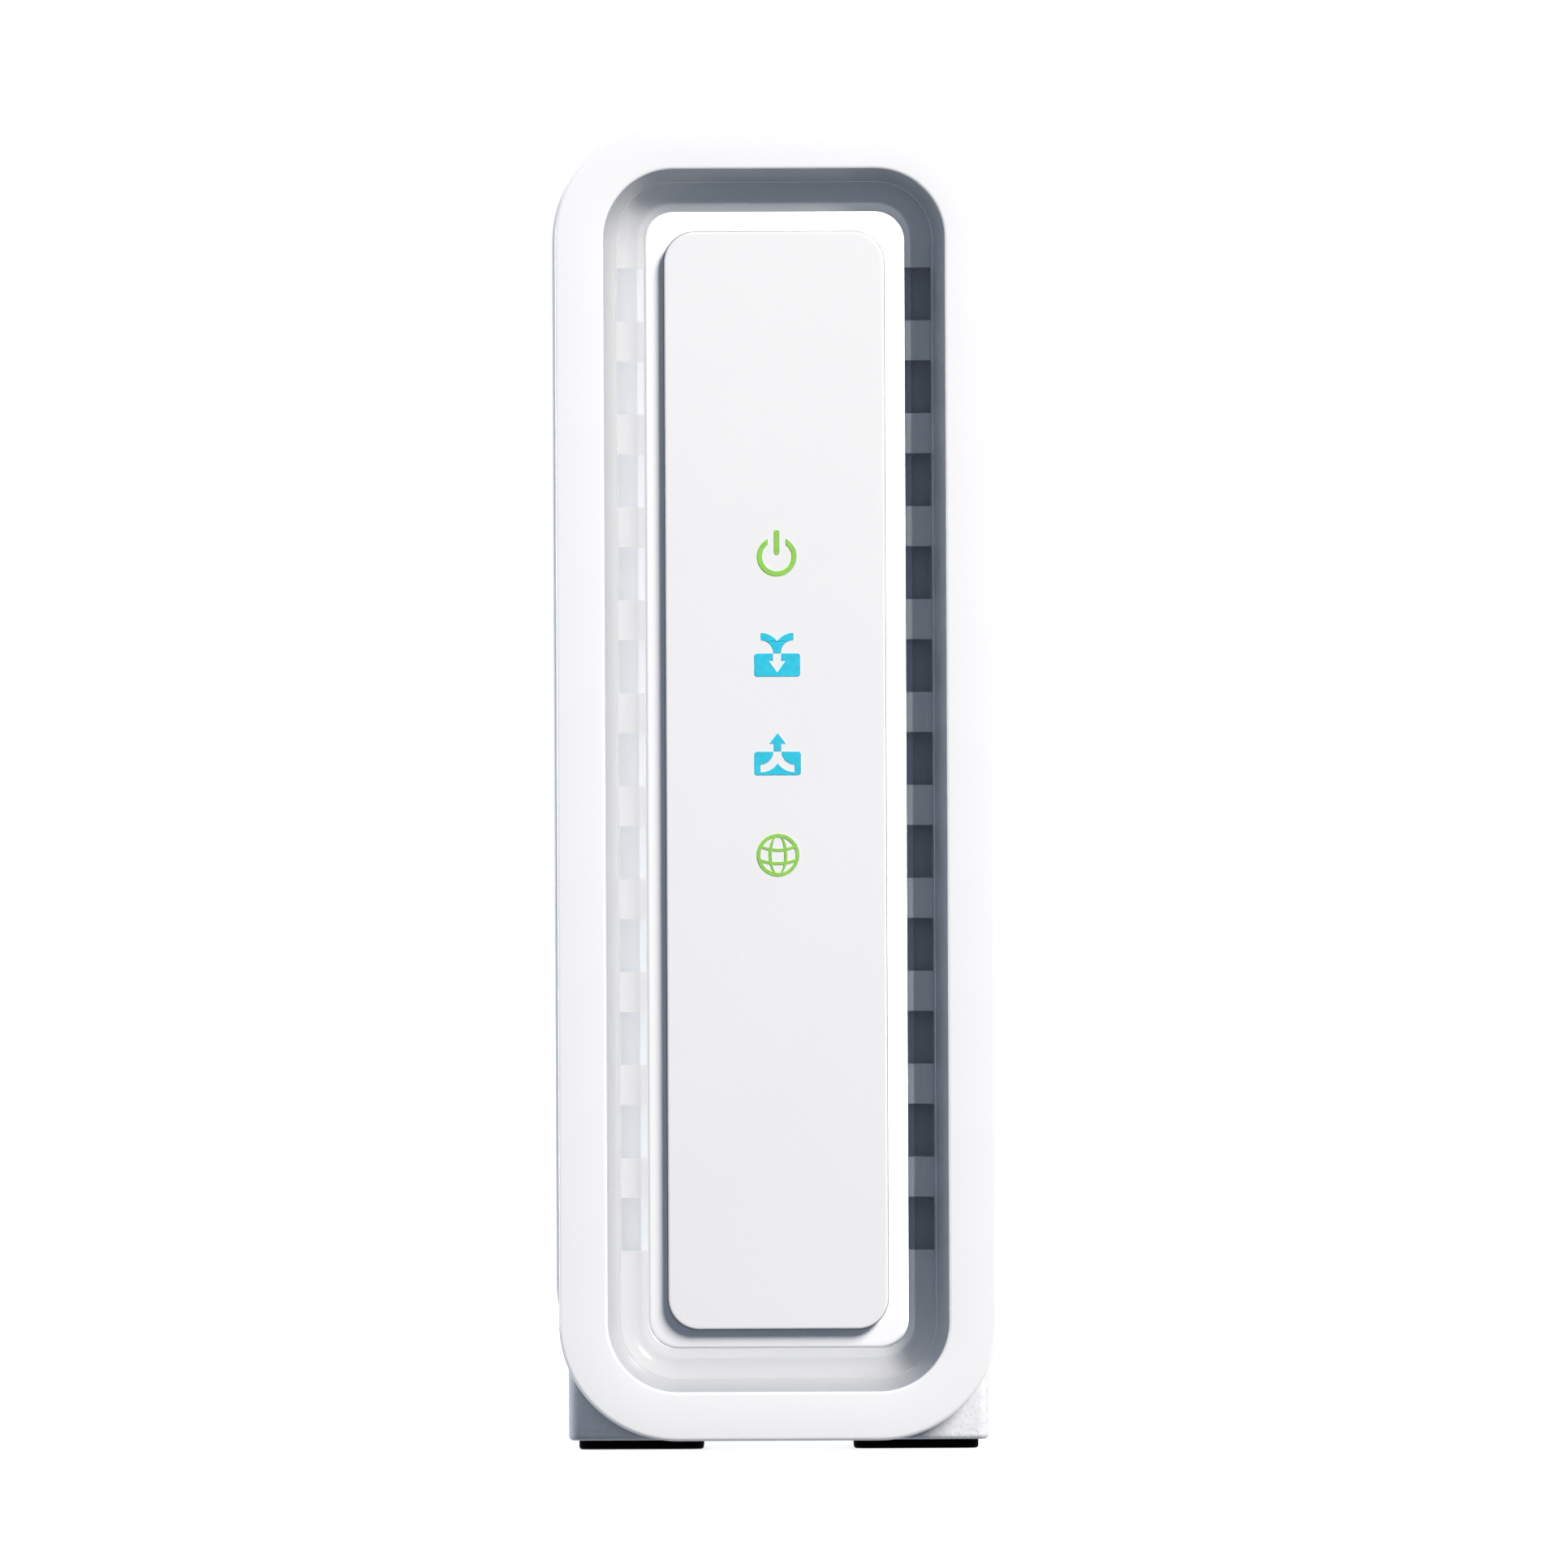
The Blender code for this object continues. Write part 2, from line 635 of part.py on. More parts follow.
def make_vent_frame():
    place = {"at": (0, FRONT_Y, FRONT_Z), "turn": TO_FRONT}
    outline = rounded_outline(*ISLAND)
    frame = add_part(
        "vent_frame", prism("vent_frame", outline, ISLAND_BACK, ISLAND_FRONT), "gloss_white", **place
    )
    bevel(frame, ISLAND_EDGE, 1)
    channel = swept("channel", rounded_outline(*OPENING), channel_section())
    boolean(frame, add_tool("channel", channel, **place), "UNION", "MANIFOLD")
    vents = boxes("side_vents", vent_boxes())
    boolean(frame, add_tool("side_vents", vents, **place), "DIFFERENCE", "MANIFOLD")
    for number, spot in enumerate(baffle_boxes(), 1):
        baffle = boxes(f"baffle_{number}", [spot])
        boolean(frame, add_tool(f"baffle_{number}", baffle, **place), "UNION", "MANIFOLD")
    width, height, radius = PLATE
    seat = rounded_outline(width + 2 * GAP, height + 2 * GAP, radius + GAP)
    seat = prism("plate_seat", seat, SEAT_FLOOR, DEEP)
    boolean(frame, add_tool("plate_seat", seat, **place), "DIFFERENCE", "MANIFOLD")
    hollow = rounded_outline(
        ISLAND[0] - 2 * FLOOR_THICKNESS,
        ISLAND[1] - 2 * FLOOR_THICKNESS,
        ISLAND[2] / 2,
        EDGE_STEPS,
    )
    hollow = prism("island_hollow", hollow, -DEEP, SEAT_FLOOR - SEAT_THICKNESS)
    boolean(frame, add_tool("island_hollow", hollow, **place), "DIFFERENCE", "MANIFOLD")
    holes = rods("guide_holes", GUIDE_HOLE, -DEEP, DEEP, light_centres())
    boolean(frame, add_tool("guide_holes", holes, **place), "DIFFERENCE", "MANIFOLD")


def make_face_plate():
    place = {"at": (0, FRONT_Y, FRONT_Z), "turn": TO_FRONT}
    mesh = prism("face_plate", rounded_outline(*PLATE), PLATE_BACK, PLATE_FRONT)
    plate = add_part("face_plate", mesh, "satin_white", **place)
    bevel(plate, PLATE_EDGE, 3)
    pockets = rods("light_pockets", GUIDE_HOLE, -DEEP, PLATE_FRONT - PLATE_WEB, light_centres())
    boolean(plate, add_tool("light_pockets", pockets, **place), "DIFFERENCE")


# Lights


def guide_route(height):
    """Straight back from the face plate, sideways in a gentle S, and on to the board's edge."""
    route = [(0, GUIDE_START_Y, height)]
    for step in range(GUIDE_BEND_STEPS + 1):
        share = step / GUIDE_BEND_STEPS
        x = GUIDE_SIDESTEP * (1 - math.cos(math.pi * share)) / 2
        route.append((x, GUIDE_BEND_Y + share * GUIDE_BEND_LENGTH, height))
    route.append((GUIDE_SIDESTEP, GUIDE_END_Y, height))
    return route


def make_light(name, height):
    color = "green_light" if name in ("power", "online") else "cyan_light"
    curve = bpy.data.curves.new(name + "_light_guide", "CURVE")
    curve.dimensions = "3D"
    curve.bevel_depth = GUIDE_RADIUS
    curve.bevel_resolution = 2
    curve.use_fill_caps = True
    curve_line(curve, guide_route(height), False)
    add_part(name + "_light_guide", mesh_of_curve(curve, name + "_light_guide"), color)
    at = (ON_BOARD_X, BOARD_Y[0] + LED_SIZE[0] / 2, height)
    led = add_part(name + "_led", box(name + "_led", LED_SIZE, 0), color, at, TO_RIGHT)
    bevel(led, SMALL_EDGE, 1)


def make_guide_bracket():
    heights = [z - FRONT_Z for z in LIGHTS.values()]
    middle = (max(heights) + min(heights)) / 2
    width, height, thickness = BRACKET_SIZE
    outline = moved(rounded_outline(width, height, GUIDE_RADIUS, EDGE_STEPS), 0, middle)
    holes = [circle(GUIDE_HOLE, SMALL_ROUND_STEPS, (0, z)) for z in heights]
    top = ISLAND_BACK - GAP
    mesh = prism("light_guide_bracket", outline, top - thickness, top, holes)
    add_part("light_guide_bracket", mesh, "black_plastic", (0, FRONT_Y, FRONT_Z), TO_FRONT)


# Housing


def shell_section():
    """A shell's wall, from its front edge to the rear lip: x outwards, y towards the front."""
    front = -SHELL_FRONT_Y
    back = -SHELL_BACK_Y
    lip = -SHELL_WALL - LIP_WIDTH
    slot_back = back + LIP_DEPTH
    slot_front = slot_back + PANEL_THICKNESS + 2 * GAP
    corner = (-REAR_EDGE_RADIUS, back + REAR_EDGE_RADIUS)
    points = [(-FRONT_CHAMFER, front), (-SHELL_WALL, front)]
    points += [(-SHELL_WALL, slot_front + LIP_DEPTH), (lip, slot_front + LIP_DEPTH)]
    points += [(lip, slot_front), (-SHELL_WALL, slot_front)]
    points += [(-SHELL_WALL, slot_back), (lip, slot_back), (lip, back)]
    points += arc(corner, (REAR_EDGE_RADIUS, REAR_EDGE_RADIUS), -90, 0, EDGE_STEPS)
    points.append((0, front - FRONT_CHAMFER))
    return points


def lap_boxes(low_x, high_x, inside, outside, spare):
    """A box along the seam at the top and one at the bottom, by their reach into the wall."""
    size = (high_x - low_x, LAP_Y[1] - LAP_Y[0] + 2 * spare, outside - inside)
    x = (high_x + low_x) / 2
    y = sum(LAP_Y) / 2
    rise = (inside + outside) / 2
    yield size, (x, y, SHELL_TOP - SHELL_WALL + rise)
    yield size, (x, y, SHELL_BOTTOM + SHELL_WALL - rise)


def tongue_boxes():
    return lap_boxes(-TONGUE_ROOT, TONGUE_REACH, *TONGUE_Z, 0)


def rebate_boxes():
    return lap_boxes(-GAP, TONGUE_REACH + GAP, -REBATE_CUT, TONGUE_Z[1] + GAP, GAP)


def base_screw_centres(side):
    return [(side * BASE_SCREW_X, y) for y in FOOT_Y.values()]


def make_shell(name, side):
    """One half of the housing: side is -1 for the left half and 1 for the right."""
    path = half_outline(SHELL_WIDTH, SHELL_TOP - SHELL_BOTTOM, SHELL_RADIUS, GAP / 2)
    mesh = swept(name, path, shell_section(), closed=False)
    if side < 0:
        mesh.transform(Matrix.Rotation(math.pi, 4, "Z"))
    shell = add_part(name, mesh, "shell_white", (0, 0, SHELL_Z), TO_FRONT)
    bosses = rods(name + "_bosses", BOSS_RADIUS, BOSS_FLOOR, BASE_BOSS_TOP, base_screw_centres(side))
    boolean(shell, add_tool(name + "_bosses", bosses), "UNION", "MANIFOLD")
    pilots = rods(name + "_pilots", SCREW_HOLE, -DEEP, BASE_SCREW_TOP + GAP, base_screw_centres(side))
    if side < 0:
        wall = -SHELL_WIDTH / 2 + SHELL_WALL / 2
        posts = rods("board_posts", BOSS_RADIUS, wall, BOARD_BACK_X - GAP, BOARD_SCREWS)
        boolean(shell, add_tool("board_posts", posts, turn=TO_RIGHT), "UNION", "MANIFOLD")
        tip = ON_BOARD_X - BOARD_SCREW_LENGTH - GAP
        holes = rods("post_pilots", SCREW_HOLE, tip, DEEP, BOARD_SCREWS)
        boolean(shell, add_tool("post_pilots", holes, turn=TO_RIGHT), "DIFFERENCE", "MANIFOLD")
        boolean(shell, add_tool("tongues", boxes("tongues", tongue_boxes())), "UNION", "MANIFOLD")
    else:
        rebates = boxes("rebates", rebate_boxes())
        boolean(shell, add_tool("rebates", rebates), "DIFFERENCE", "MANIFOLD")
    boolean(shell, add_tool(name + "_pilots", pilots), "DIFFERENCE", "MANIFOLD")


def make_base():
    """A plinth whose top is scooped out to the housing's rounded underside."""
    length = BASE_BACK_Y - BASE_FRONT_Y
    middle_y = (BASE_BACK_Y + BASE_FRONT_Y) / 2
    mesh = box("base", (BASE_WIDTH, length, BASE_TOP - BASE_BOTTOM), BASE_BOTTOM)
    base = add_part("base", mesh, "base_white", (0, middle_y, 0))
    bevel(base, BASE_EDGE)
    scoop = rounded_outline(
        SHELL_WIDTH + 2 * GAP, SHELL_TOP - SHELL_BOTTOM + 2 * GAP, SHELL_RADIUS + GAP
    )
    scoop = add_tool("base_scoop", prism("base_scoop", scoop, -DEPTH, DEPTH), (0, 0, SHELL_Z), TO_FRONT)
    boolean(base, scoop, "DIFFERENCE")
    recesses = []
    for x in (-FOOT_X, FOOT_X):
        for y in FOOT_Y.values():
            size = (FOOT_SIZE[0] + 2 * GAP, FOOT_SIZE[1] + 2 * GAP, 2 * FOOT_RECESS)
            recesses.append((size, (x, y, 0)))
    boolean(base, add_tool("foot_recesses", boxes("foot_recesses", recesses)), "DIFFERENCE")
    centres = base_screw_centres(-1) + base_screw_centres(1)
    heads = rods("head_holes", HEAD_RADIUS + GAP, -DEEP, FOOT_RECESS + HEAD_ROOM, centres)
    boolean(base, add_tool("head_holes", heads), "DIFFERENCE")
    shanks = rods("shank_holes", SCREW_HOLE, -DEEP, DEEP, centres)
    boolean(base, add_tool("shank_holes", shanks), "DIFFERENCE")


def make_feet():
    outline = rounded_outline(FOOT_SIZE[0], FOOT_SIZE[1], FOOT_RADIUS, EDGE_STEPS)
    for side, x in (("left", -FOOT_X), ("right", FOOT_X)):
        for end, y in FOOT_Y.items():
            name = f"foot_{end}_{side}"
            add_part(name, prism(name, outline, 0, FOOT_SIZE[2]), "rubber", (x, y, 0))


def make_rear_panel():
    """A flat plate with its vents, and one opening for each connector and the reset button."""
    width = SHELL_WIDTH - 2 * PANEL_INSET
    height = SHELL_TOP - SHELL_BOTTOM - 2 * PANEL_INSET
    outline = rounded_outline(width, height, SHELL_RADIUS - PANEL_INSET)
    jacks = ((POWER_Z, POWER_JACK_SIZE), (ETHERNET_Z, ETHERNET_SIZE))
    holes = []
    for z, size in jacks:
        middle_x = ON_BOARD_X + size[0] / 2
        hole = box_outline(size[0] + 2 * GAP, size[1] + 2 * GAP)
        holes.append(moved(hole, middle_x, z - SHELL_Z))
    holes.append(circle(COAX_HOLE_RADIUS, ROUND_STEPS, (0, COAX_Z - SHELL_Z)))
    reset = (RESET_XZ[0], RESET_XZ[1] - SHELL_Z)
    holes.append(circle(RESET_HOLE_RADIUS, SMALL_ROUND_STEPS, reset))
    for row in range(REAR_VENT_COUNT):
        rise = (row - (REAR_VENT_COUNT - 1) / 2) * REAR_VENT_PITCH
        slot = rounded_outline(*REAR_VENT_SIZE, REAR_VENT_RADIUS, EDGE_STEPS)
        holes.append(moved(slot, 0, REAR_VENT_MIDDLE_Z + rise - SHELL_Z))
    mesh = prism("rear_panel", outline, -PANEL_OUTSIDE_Y, -PANEL_INSIDE_Y, holes)
    add_part("rear_panel", mesh, "rear_white", (0, 0, SHELL_Z), TO_FRONT)


# Screws


def screw_profile(length, head_radius=HEAD_RADIUS, shank_radius=SCREW_RADIUS, head=HEAD_HEIGHT):
    """A pan head above z = 0 and a pointed shank below it, from the top down."""
    rim = head * HEAD_RIM
    tip = shank_radius * SCREW_TIP
    points = arc((0, rim), (head_radius, head - rim), 90, 0, EDGE_STEPS)
    points += [(head_radius, 0), (shank_radius, 0), (shank_radius, tip - length), (0, -length)]
    return points


def make_base_screws():
    length = BASE_SCREW_TOP - FOOT_RECESS - HEAD_HEIGHT
    number = 0
    for side in (-1, 1):
        for x, y in base_screw_centres(side):
            number += 1
            name = f"base_screw_{number}"
            upside_down = Euler((math.pi, 0, 0))
            at = (x, y, FOOT_RECESS + HEAD_HEIGHT)
            mesh = line_mesh(name, screw_profile(length))
            turn_profile(add_part(name, mesh, "screw_steel", at, upside_down), SMALL_ROUND_STEPS)


def make_board_screws():
    for number, (y, z) in enumerate(BOARD_SCREWS, 1):
        name = f"board_screw_{number}"
        mesh = line_mesh(name, screw_profile(BOARD_SCREW_LENGTH))
        screw = add_part(name, mesh, "screw_steel", (ON_BOARD_X, y, z), TO_RIGHT)
        turn_profile(screw, SMALL_ROUND_STEPS)


# Main board and what it carries


def pin_centres():
    y, z = PROCESSOR_YZ
    return [(y, z - PIN_REACH), (y, z + PIN_REACH)]


def make_board():
    size_y = BOARD_Y[1] - BOARD_Y[0]
    size_z = BOARD_Z[1] - BOARD_Z[0]
    middle = (sum(BOARD_Y) / 2, sum(BOARD_Z) / 2)
    outline = moved(rounded_outline(size_y, size_z, BOARD_RADIUS, TINY_STEPS), *middle)
    holes = [circle(SCREW_HOLE, SMALL_ROUND_STEPS, spot) for spot in BOARD_SCREWS]
    holes += [circle(PIN_HOLE, SMALL_ROUND_STEPS, spot) for spot in pin_centres()]
    mesh = prism("main_board", outline, BOARD_BACK_X, BOARD_FACE_X, holes)
    add_part("main_board", mesh, "board_green", turn=TO_RIGHT)


def add_board_block(name, size, yz, material, x=ON_BOARD_X, edge=SMALL_EDGE):
    part = add_part(name, box(name, size, 0), material, (x, *yz), TO_RIGHT)
    bevel(part, edge, 1)
    return part


def make_processor():
    add_board_block("modem_processor", PROCESSOR_SIZE, PROCESSOR_YZ, "chip_black")
    add_board_block("thermal_pad", PAD_SIZE, PROCESSOR_YZ, "thermal_pad", PAD_X, FINE_EDGE)


def fin_outline():
    """The heat sink's comb, in local x and y, with its base on y = 0."""
    width = SINK_SIZE[0]
    base = SINK_SIZE[2]
    pitch = (width - FIN_THICKNESS) / (FIN_COUNT - 1)
    points = [(width / 2, 0)]
    for fin in range(FIN_COUNT):
        right = width / 2 - fin * pitch
        left = right - FIN_THICKNESS
        points += [(right, base), (right, base + FIN_HEIGHT)]
        points += [(left, base + FIN_HEIGHT), (left, base)]
    points.append((-width / 2, 0))
    return points


def make_heat_sink():
    """A comb extruded upwards, with its fins cut back at both ends to leave the pin tabs."""
    y, z = PROCESSOR_YZ
    half = SINK_SIZE[1] / 2
    mesh = prism("heat_sink", [(a, -b) for a, b in fin_outline()][::-1], -half, half)
    mesh.transform(Matrix.Rotation(math.pi / 2, 4, "Z"))
    sink = add_part("heat_sink", mesh, "aluminium", (SINK_X, y, z))
    tabs = []
    for end in (-1, 1):
        size = (2 * FIN_HEIGHT, 2 * SINK_SIZE[0], 2 * SINK_TAB)
        x = SINK_X + SINK_SIZE[2] + FIN_HEIGHT - SINK_CUT
        tabs.append((size, (x, y, z + end * half)))
    boolean(sink, add_tool("sink_tabs", boxes("sink_tabs", tabs)), "DIFFERENCE")
    holes = rods("pin_holes", PIN_HOLE, -DEEP, DEEP, pin_centres())
    boolean(sink, add_tool("pin_holes", holes, turn=TO_RIGHT), "DIFFERENCE")
    x = SINK_X + SINK_SIZE[2] + GAP
    length = x - BOARD_BACK_X + PIN_RADIUS
    for number, spot in enumerate(pin_centres(), 1):
        name = f"heat_sink_pin_{number}"
        profile = screw_profile(length, HEAD_RADIUS, PIN_RADIUS)
        pin = add_part(name, line_mesh(name, profile), "white_insulator", (x, *spot), TO_RIGHT)
        turn_profile(pin, SMALL_ROUND_STEPS)


def make_tuner():
    width, height, rise = FENCE_SIZE
    at = (ON_BOARD_X, *TUNER_YZ)
    skin = open_box("tuner_shield_frame", FENCE_SIZE, ((0, 0, 1), (0, 0, -1)))
    solidify(add_part("tuner_shield_frame", skin, "tinned_steel", at, TO_RIGHT), FENCE_WALL)
    spread = 2 * (GAP + LID_WALL)
    top = rise + GAP + LID_WALL
    skin = open_box("tuner_shield_lid", (width + spread, height + spread, LID_SKIRT), ((0, 0, -1),))
    skin.transform(Matrix.Translation((0, 0, top - LID_SKIRT)))
    solidify(add_part("tuner_shield_lid", skin, "tinned_steel", at, TO_RIGHT), LID_WALL)
    add_board_block("tuner_chip", TUNER_CHIP_SIZE, TUNER_YZ, "chip_black", edge=FINE_EDGE)


def make_small_board_parts():
    for name, (yz, size) in CHIPS.items():
        add_board_block(name, size, yz, "chip_black", edge=FINE_EDGE)
    outline = rounded_outline(CRYSTAL_SIZE[0], CRYSTAL_SIZE[1], CRYSTAL_RADIUS, EDGE_STEPS)
    crystal = prism("crystal", outline, 0, CRYSTAL_SIZE[2])
    crystal = add_part("crystal", crystal, "tinned_steel", (ON_BOARD_X, *CRYSTAL_YZ), TO_RIGHT)
    bevel(crystal, BLOCK_EDGE, 1)
    for number, yz in enumerate(INDUCTORS, 1):
        add_board_block(f"inductor_{number}", INDUCTOR_SIZE, yz, "chip_black", edge=INDUCTOR_EDGE)
    for number, yz in enumerate(CAPACITORS, 1):
        name = f"capacitor_{number}"
        can = line_mesh(name, capacitor_profile())
        can = add_part(name, can, "aluminium", (ON_BOARD_X, *yz), TO_RIGHT)
        turn_profile(can, CAN_STEPS)


def capacitor_profile():
    """A can with a rounded top edge and the crimped groove near its foot."""
    radius = CAPACITOR_RADIUS
    edge = CAPACITOR_EDGE
    top = CAPACITOR_HEIGHT
    points = [(0, top)]
    points += arc((radius - edge, top - edge), (edge, edge), 90, 0, TINY_STEPS)
    points += [(radius, 4 * edge), (radius - edge, 3 * edge), (radius, 2 * edge)]
    points += [(radius, 0), (0, 0)]
    return points


# Rear connectors


def make_power_jack():
    size = POWER_JACK_SIZE
    middle_x = ON_BOARD_X + size[0] / 2
    at = (middle_x, JACK_FACE_Y - size[2] / 2, POWER_Z)
    jack = add_part("power_jack", box("power_jack", size), "black_plastic", at, TO_BACK)
    bevel(jack, BLOCK_EDGE, 1)
    floor = JACK_FACE_Y - POWER_BORE_DEPTH
    bore = rods("power_bore", POWER_BORE_RADIUS, floor, JACK_FACE_Y + DEEP, [(0, 0)], ROUND_STEPS)
    boolean(jack, add_tool("power_bore", bore, (0, 0, POWER_Z), TO_BACK), "DIFFERENCE")
    end = JACK_FACE_Y - POWER_PIN_SHORT
    radius = POWER_PIN_RADIUS
    edge = radius / 2
    profile = [(0, end)] + arc((edge, end - edge), (edge, edge), 90, 0, TINY_STEPS)
    profile += [(radius, floor + GAP), (0, floor + GAP)]
    pin = line_mesh("power_jack_pin", profile)
    pin = add_part("power_jack_pin", pin, "nickel", (0, 0, POWER_Z), TO_BACK)
    turn_profile(pin, SMALL_ROUND_STEPS)


def coax_profile():
    """The threaded barrel with its bore, along the connector's axis, down its outer side."""
    end = BACK_Y
    chamfer = COAX_CHAMFER
    root_end = COAX_THREAD_START_Y
    pitch = (end - 2 * chamfer - root_end) / COAX_RIDGES
    points = [(0, end - COAX_BORE_DEPTH), (COAX_BORE_RADIUS, end - COAX_BORE_DEPTH)]
    points += [(COAX_BORE_RADIUS, end), (COAX_RADIUS - chamfer, end)]
    for ridge in range(COAX_RIDGES):
        crest = end - 2 * chamfer - ridge * pitch
        points += [(COAX_RADIUS, crest), (COAX_ROOT, crest - pitch / 2)]
    points += [(COAX_NECK_RADIUS, root_end)]
    points += [(COAX_NECK_RADIUS, PANEL_INSIDE_Y - 3 * GAP), (0, PANEL_INSIDE_Y - 3 * GAP)]
    return points


def make_coax():
    size = COAX_BLOCK_SIZE
    front = PANEL_INSIDE_Y - GAP
    at = (ON_BOARD_X + size[0] / 2, front - size[2] / 2, COAX_Z)
    block = add_part("coax_connector", box("coax_connector", size), "nickel", at, TO_BACK)
    bevel(block, COAX_BLOCK_EDGE, 1)
    barrel = turn_profile(
        add_tool("coax_barrel", line_mesh("coax_barrel", coax_profile()), (0, 0, COAX_Z), TO_BACK)
    )
    boolean(block, barrel, "UNION")
    floor = BACK_Y - COAX_BORE_DEPTH + GAP
    face = BACK_Y - INSULATOR_SHORT
    radius = COAX_BORE_RADIUS - GAP
    hole_floor = face - INSULATOR_HOLE_DEPTH
    profile = [(0, hole_floor), (INSULATOR_HOLE, hole_floor), (INSULATOR_HOLE, face)]
    profile += [(radius, face), (radius, floor), (0, floor)]
    mesh = line_mesh("coax_insulator", profile)
    insulator = add_part("coax_insulator", mesh, "white_insulator", (0, 0, COAX_Z), TO_BACK)
    turn_profile(insulator, CAN_STEPS)
    washer_y = PANEL_OUTSIDE_Y + GAP
    nut_y = washer_y + WASHER_THICKNESS + GAP
    hole = circle(COAX_HOLE_RADIUS)
    washer = prism("coax_washer", circle(WASHER_RADIUS), washer_y, washer_y + WASHER_THICKNESS, [hole])
    add_part("coax_washer", washer, "tinned_steel", (0, 0, COAX_Z), TO_BACK)
    hexagon = circle(NUT_FLATS / math.sqrt(3), 6)
    nut = prism("coax_nut", hexagon, nut_y, nut_y + NUT_THICKNESS, [hole])
    add_part("coax_nut", nut, "nickel", (0, 0, COAX_Z), TO_BACK)


def contact_outline():
    """A comb of parallel contacts: x across them, y along them."""
    half = CONTACT_PITCH * (CONTACT_COUNT - 1) / 2 + CONTACT_WIDTH / 2
    points = [(-half, -CONTACT_BAR), (half, -CONTACT_BAR)]
    for number in range(CONTACT_COUNT):
        right = half - number * CONTACT_PITCH
        left = right - CONTACT_WIDTH
        points += [(right, 0), (right, CONTACT_LENGTH), (left, CONTACT_LENGTH), (left, 0)]
    return points


def make_ethernet_jack():
    width, height, length = ETHERNET_SIZE
    middle_x = ON_BOARD_X + width / 2
    back = JACK_FACE_Y - length
    skin = open_box("ethernet_shield", ETHERNET_SIZE, ((0, 0, 1),))
    shield = add_part("ethernet_shield", skin, "tinned_steel", (middle_x, back, ETHERNET_Z), TO_BACK)
    solidify(shield, ETHERNET_SHIELD_WALL)
    inset = 2 * ETHERNET_INSET
    size = (width - inset, height - inset, length - ETHERNET_INSET - GAP)
    at = (middle_x, back + ETHERNET_INSET, ETHERNET_Z)
    body = add_part("ethernet_jack", box("ethernet_jack", size, 0), "black_plastic", at, TO_BACK)
    cavity_x = middle_x + PLUG_CAVITY_X
    at = (cavity_x, JACK_FACE_Y - PLUG_CAVITY[2], ETHERNET_Z)
    boolean(body, add_tool("plug_cavity", plug_cavity_mesh(), at, TO_FRONT), "DIFFERENCE")
    add_contacts(cavity_x + PLUG_CAVITY[0] / 2)


def plug_cavity_mesh():
    """The opening for the plug, with the two steps for its latch on the board's side."""
    x = PLUG_CAVITY[0] / 2
    y = PLUG_CAVITY[1] / 2
    points = [(x, y), (-x, y)]
    for reach, width in LATCH_SLOTS:
        points += [(points[-1][0], width / 2), (-x - reach, width / 2)]
    points += [(px, -py) for px, py in points[::-1]]
    return prism("plug_cavity", points, -DEEP, 0)


def add_contacts(top_x):
    """The gold contacts, just below the cavity's far side and leaning into it."""
    mesh = prism("ethernet_contacts", contact_outline(), 0, CONTACT_THICKNESS)
    x = top_x - CONTACT_THICKNESS - GAP
    y = JACK_FACE_Y - PLUG_CAVITY[2] + CONTACT_BAR + GAP
    turn = Matrix(((0, 0, 1), (0, 1, 0), (-1, 0, 0))).to_euler()
    add_part("ethernet_contacts", mesh, "gold", (x, y, ETHERNET_Z), turn)


def make_reset():
    width, height, length = SWITCH_SIZE
    x, z = RESET_XZ
    at = (ON_BOARD_X + width / 2, SWITCH_FACE_Y - length / 2, z)
    switch = add_part("reset_switch", box("reset_switch", SWITCH_SIZE), "black_plastic", at, TO_BACK)
    bevel(switch, SMALL_EDGE, 1)
    floor = SWITCH_FACE_Y - SWITCH_BORE_DEPTH
    bore = rods("switch_bore", SWITCH_BORE_RADIUS, floor, SWITCH_FACE_Y + DEEP, [(0, 0)])
    boolean(switch, add_tool("switch_bore", bore, (x, 0, z), TO_BACK), "DIFFERENCE")
    collar = SWITCH_FACE_Y + BUTTON_COLLAR_GAP
    collar_top = collar + BUTTON_COLLAR_LENGTH
    inner_end = SWITCH_FACE_Y - BUTTON_INNER_LENGTH
    radius = BUTTON_RADIUS
    edge = BUTTON_EDGE
    profile = [(0, BUTTON_END_Y)]
    profile += arc((radius - edge, BUTTON_END_Y - edge), (edge, edge), 90, 0, TINY_STEPS)
    profile += [(radius, collar_top), (BUTTON_COLLAR_RADIUS, collar_top)]
    profile += [(BUTTON_COLLAR_RADIUS, collar), (radius, collar)]
    profile += [(radius, inner_end), (0, inner_end)]
    button = line_mesh("reset_button", profile)
    button = add_part("reset_button", button, "black_plastic", (x, 0, z), TO_BACK)
    turn_profile(button, SMALL_ROUND_STEPS)


def make_transformer():
    yz = (TRANSFORMER_Y, ETHERNET_Z)
    add_board_block("ethernet_transformer", TRANSFORMER_SIZE, yz, "chip_black", edge=TRANSFORMER_EDGE)


clear_scene()
parts = new_collection("cable_modem")
cutters = new_collection("cutters")
materials = {name: new_material(name, *look) for name, look in MATERIALS.items()}
assembly = bpy.data.objects.new("cable_modem_origin", None)
parts.objects.link(assembly)

make_bezel()
make_vent_frame()
make_face_plate()
for light, light_height in LIGHTS.items():
    make_light(light, light_height)
make_guide_bracket()
make_shell("left_shell", -1)
make_shell("right_shell", 1)
make_base()
make_feet()
make_rear_panel()
make_base_screws()
make_board()
make_board_screws()
make_processor()
make_heat_sink()
make_tuner()
make_small_board_parts()
make_power_jack()
make_coax()
make_ethernet_jack()
make_transformer()
make_reset()
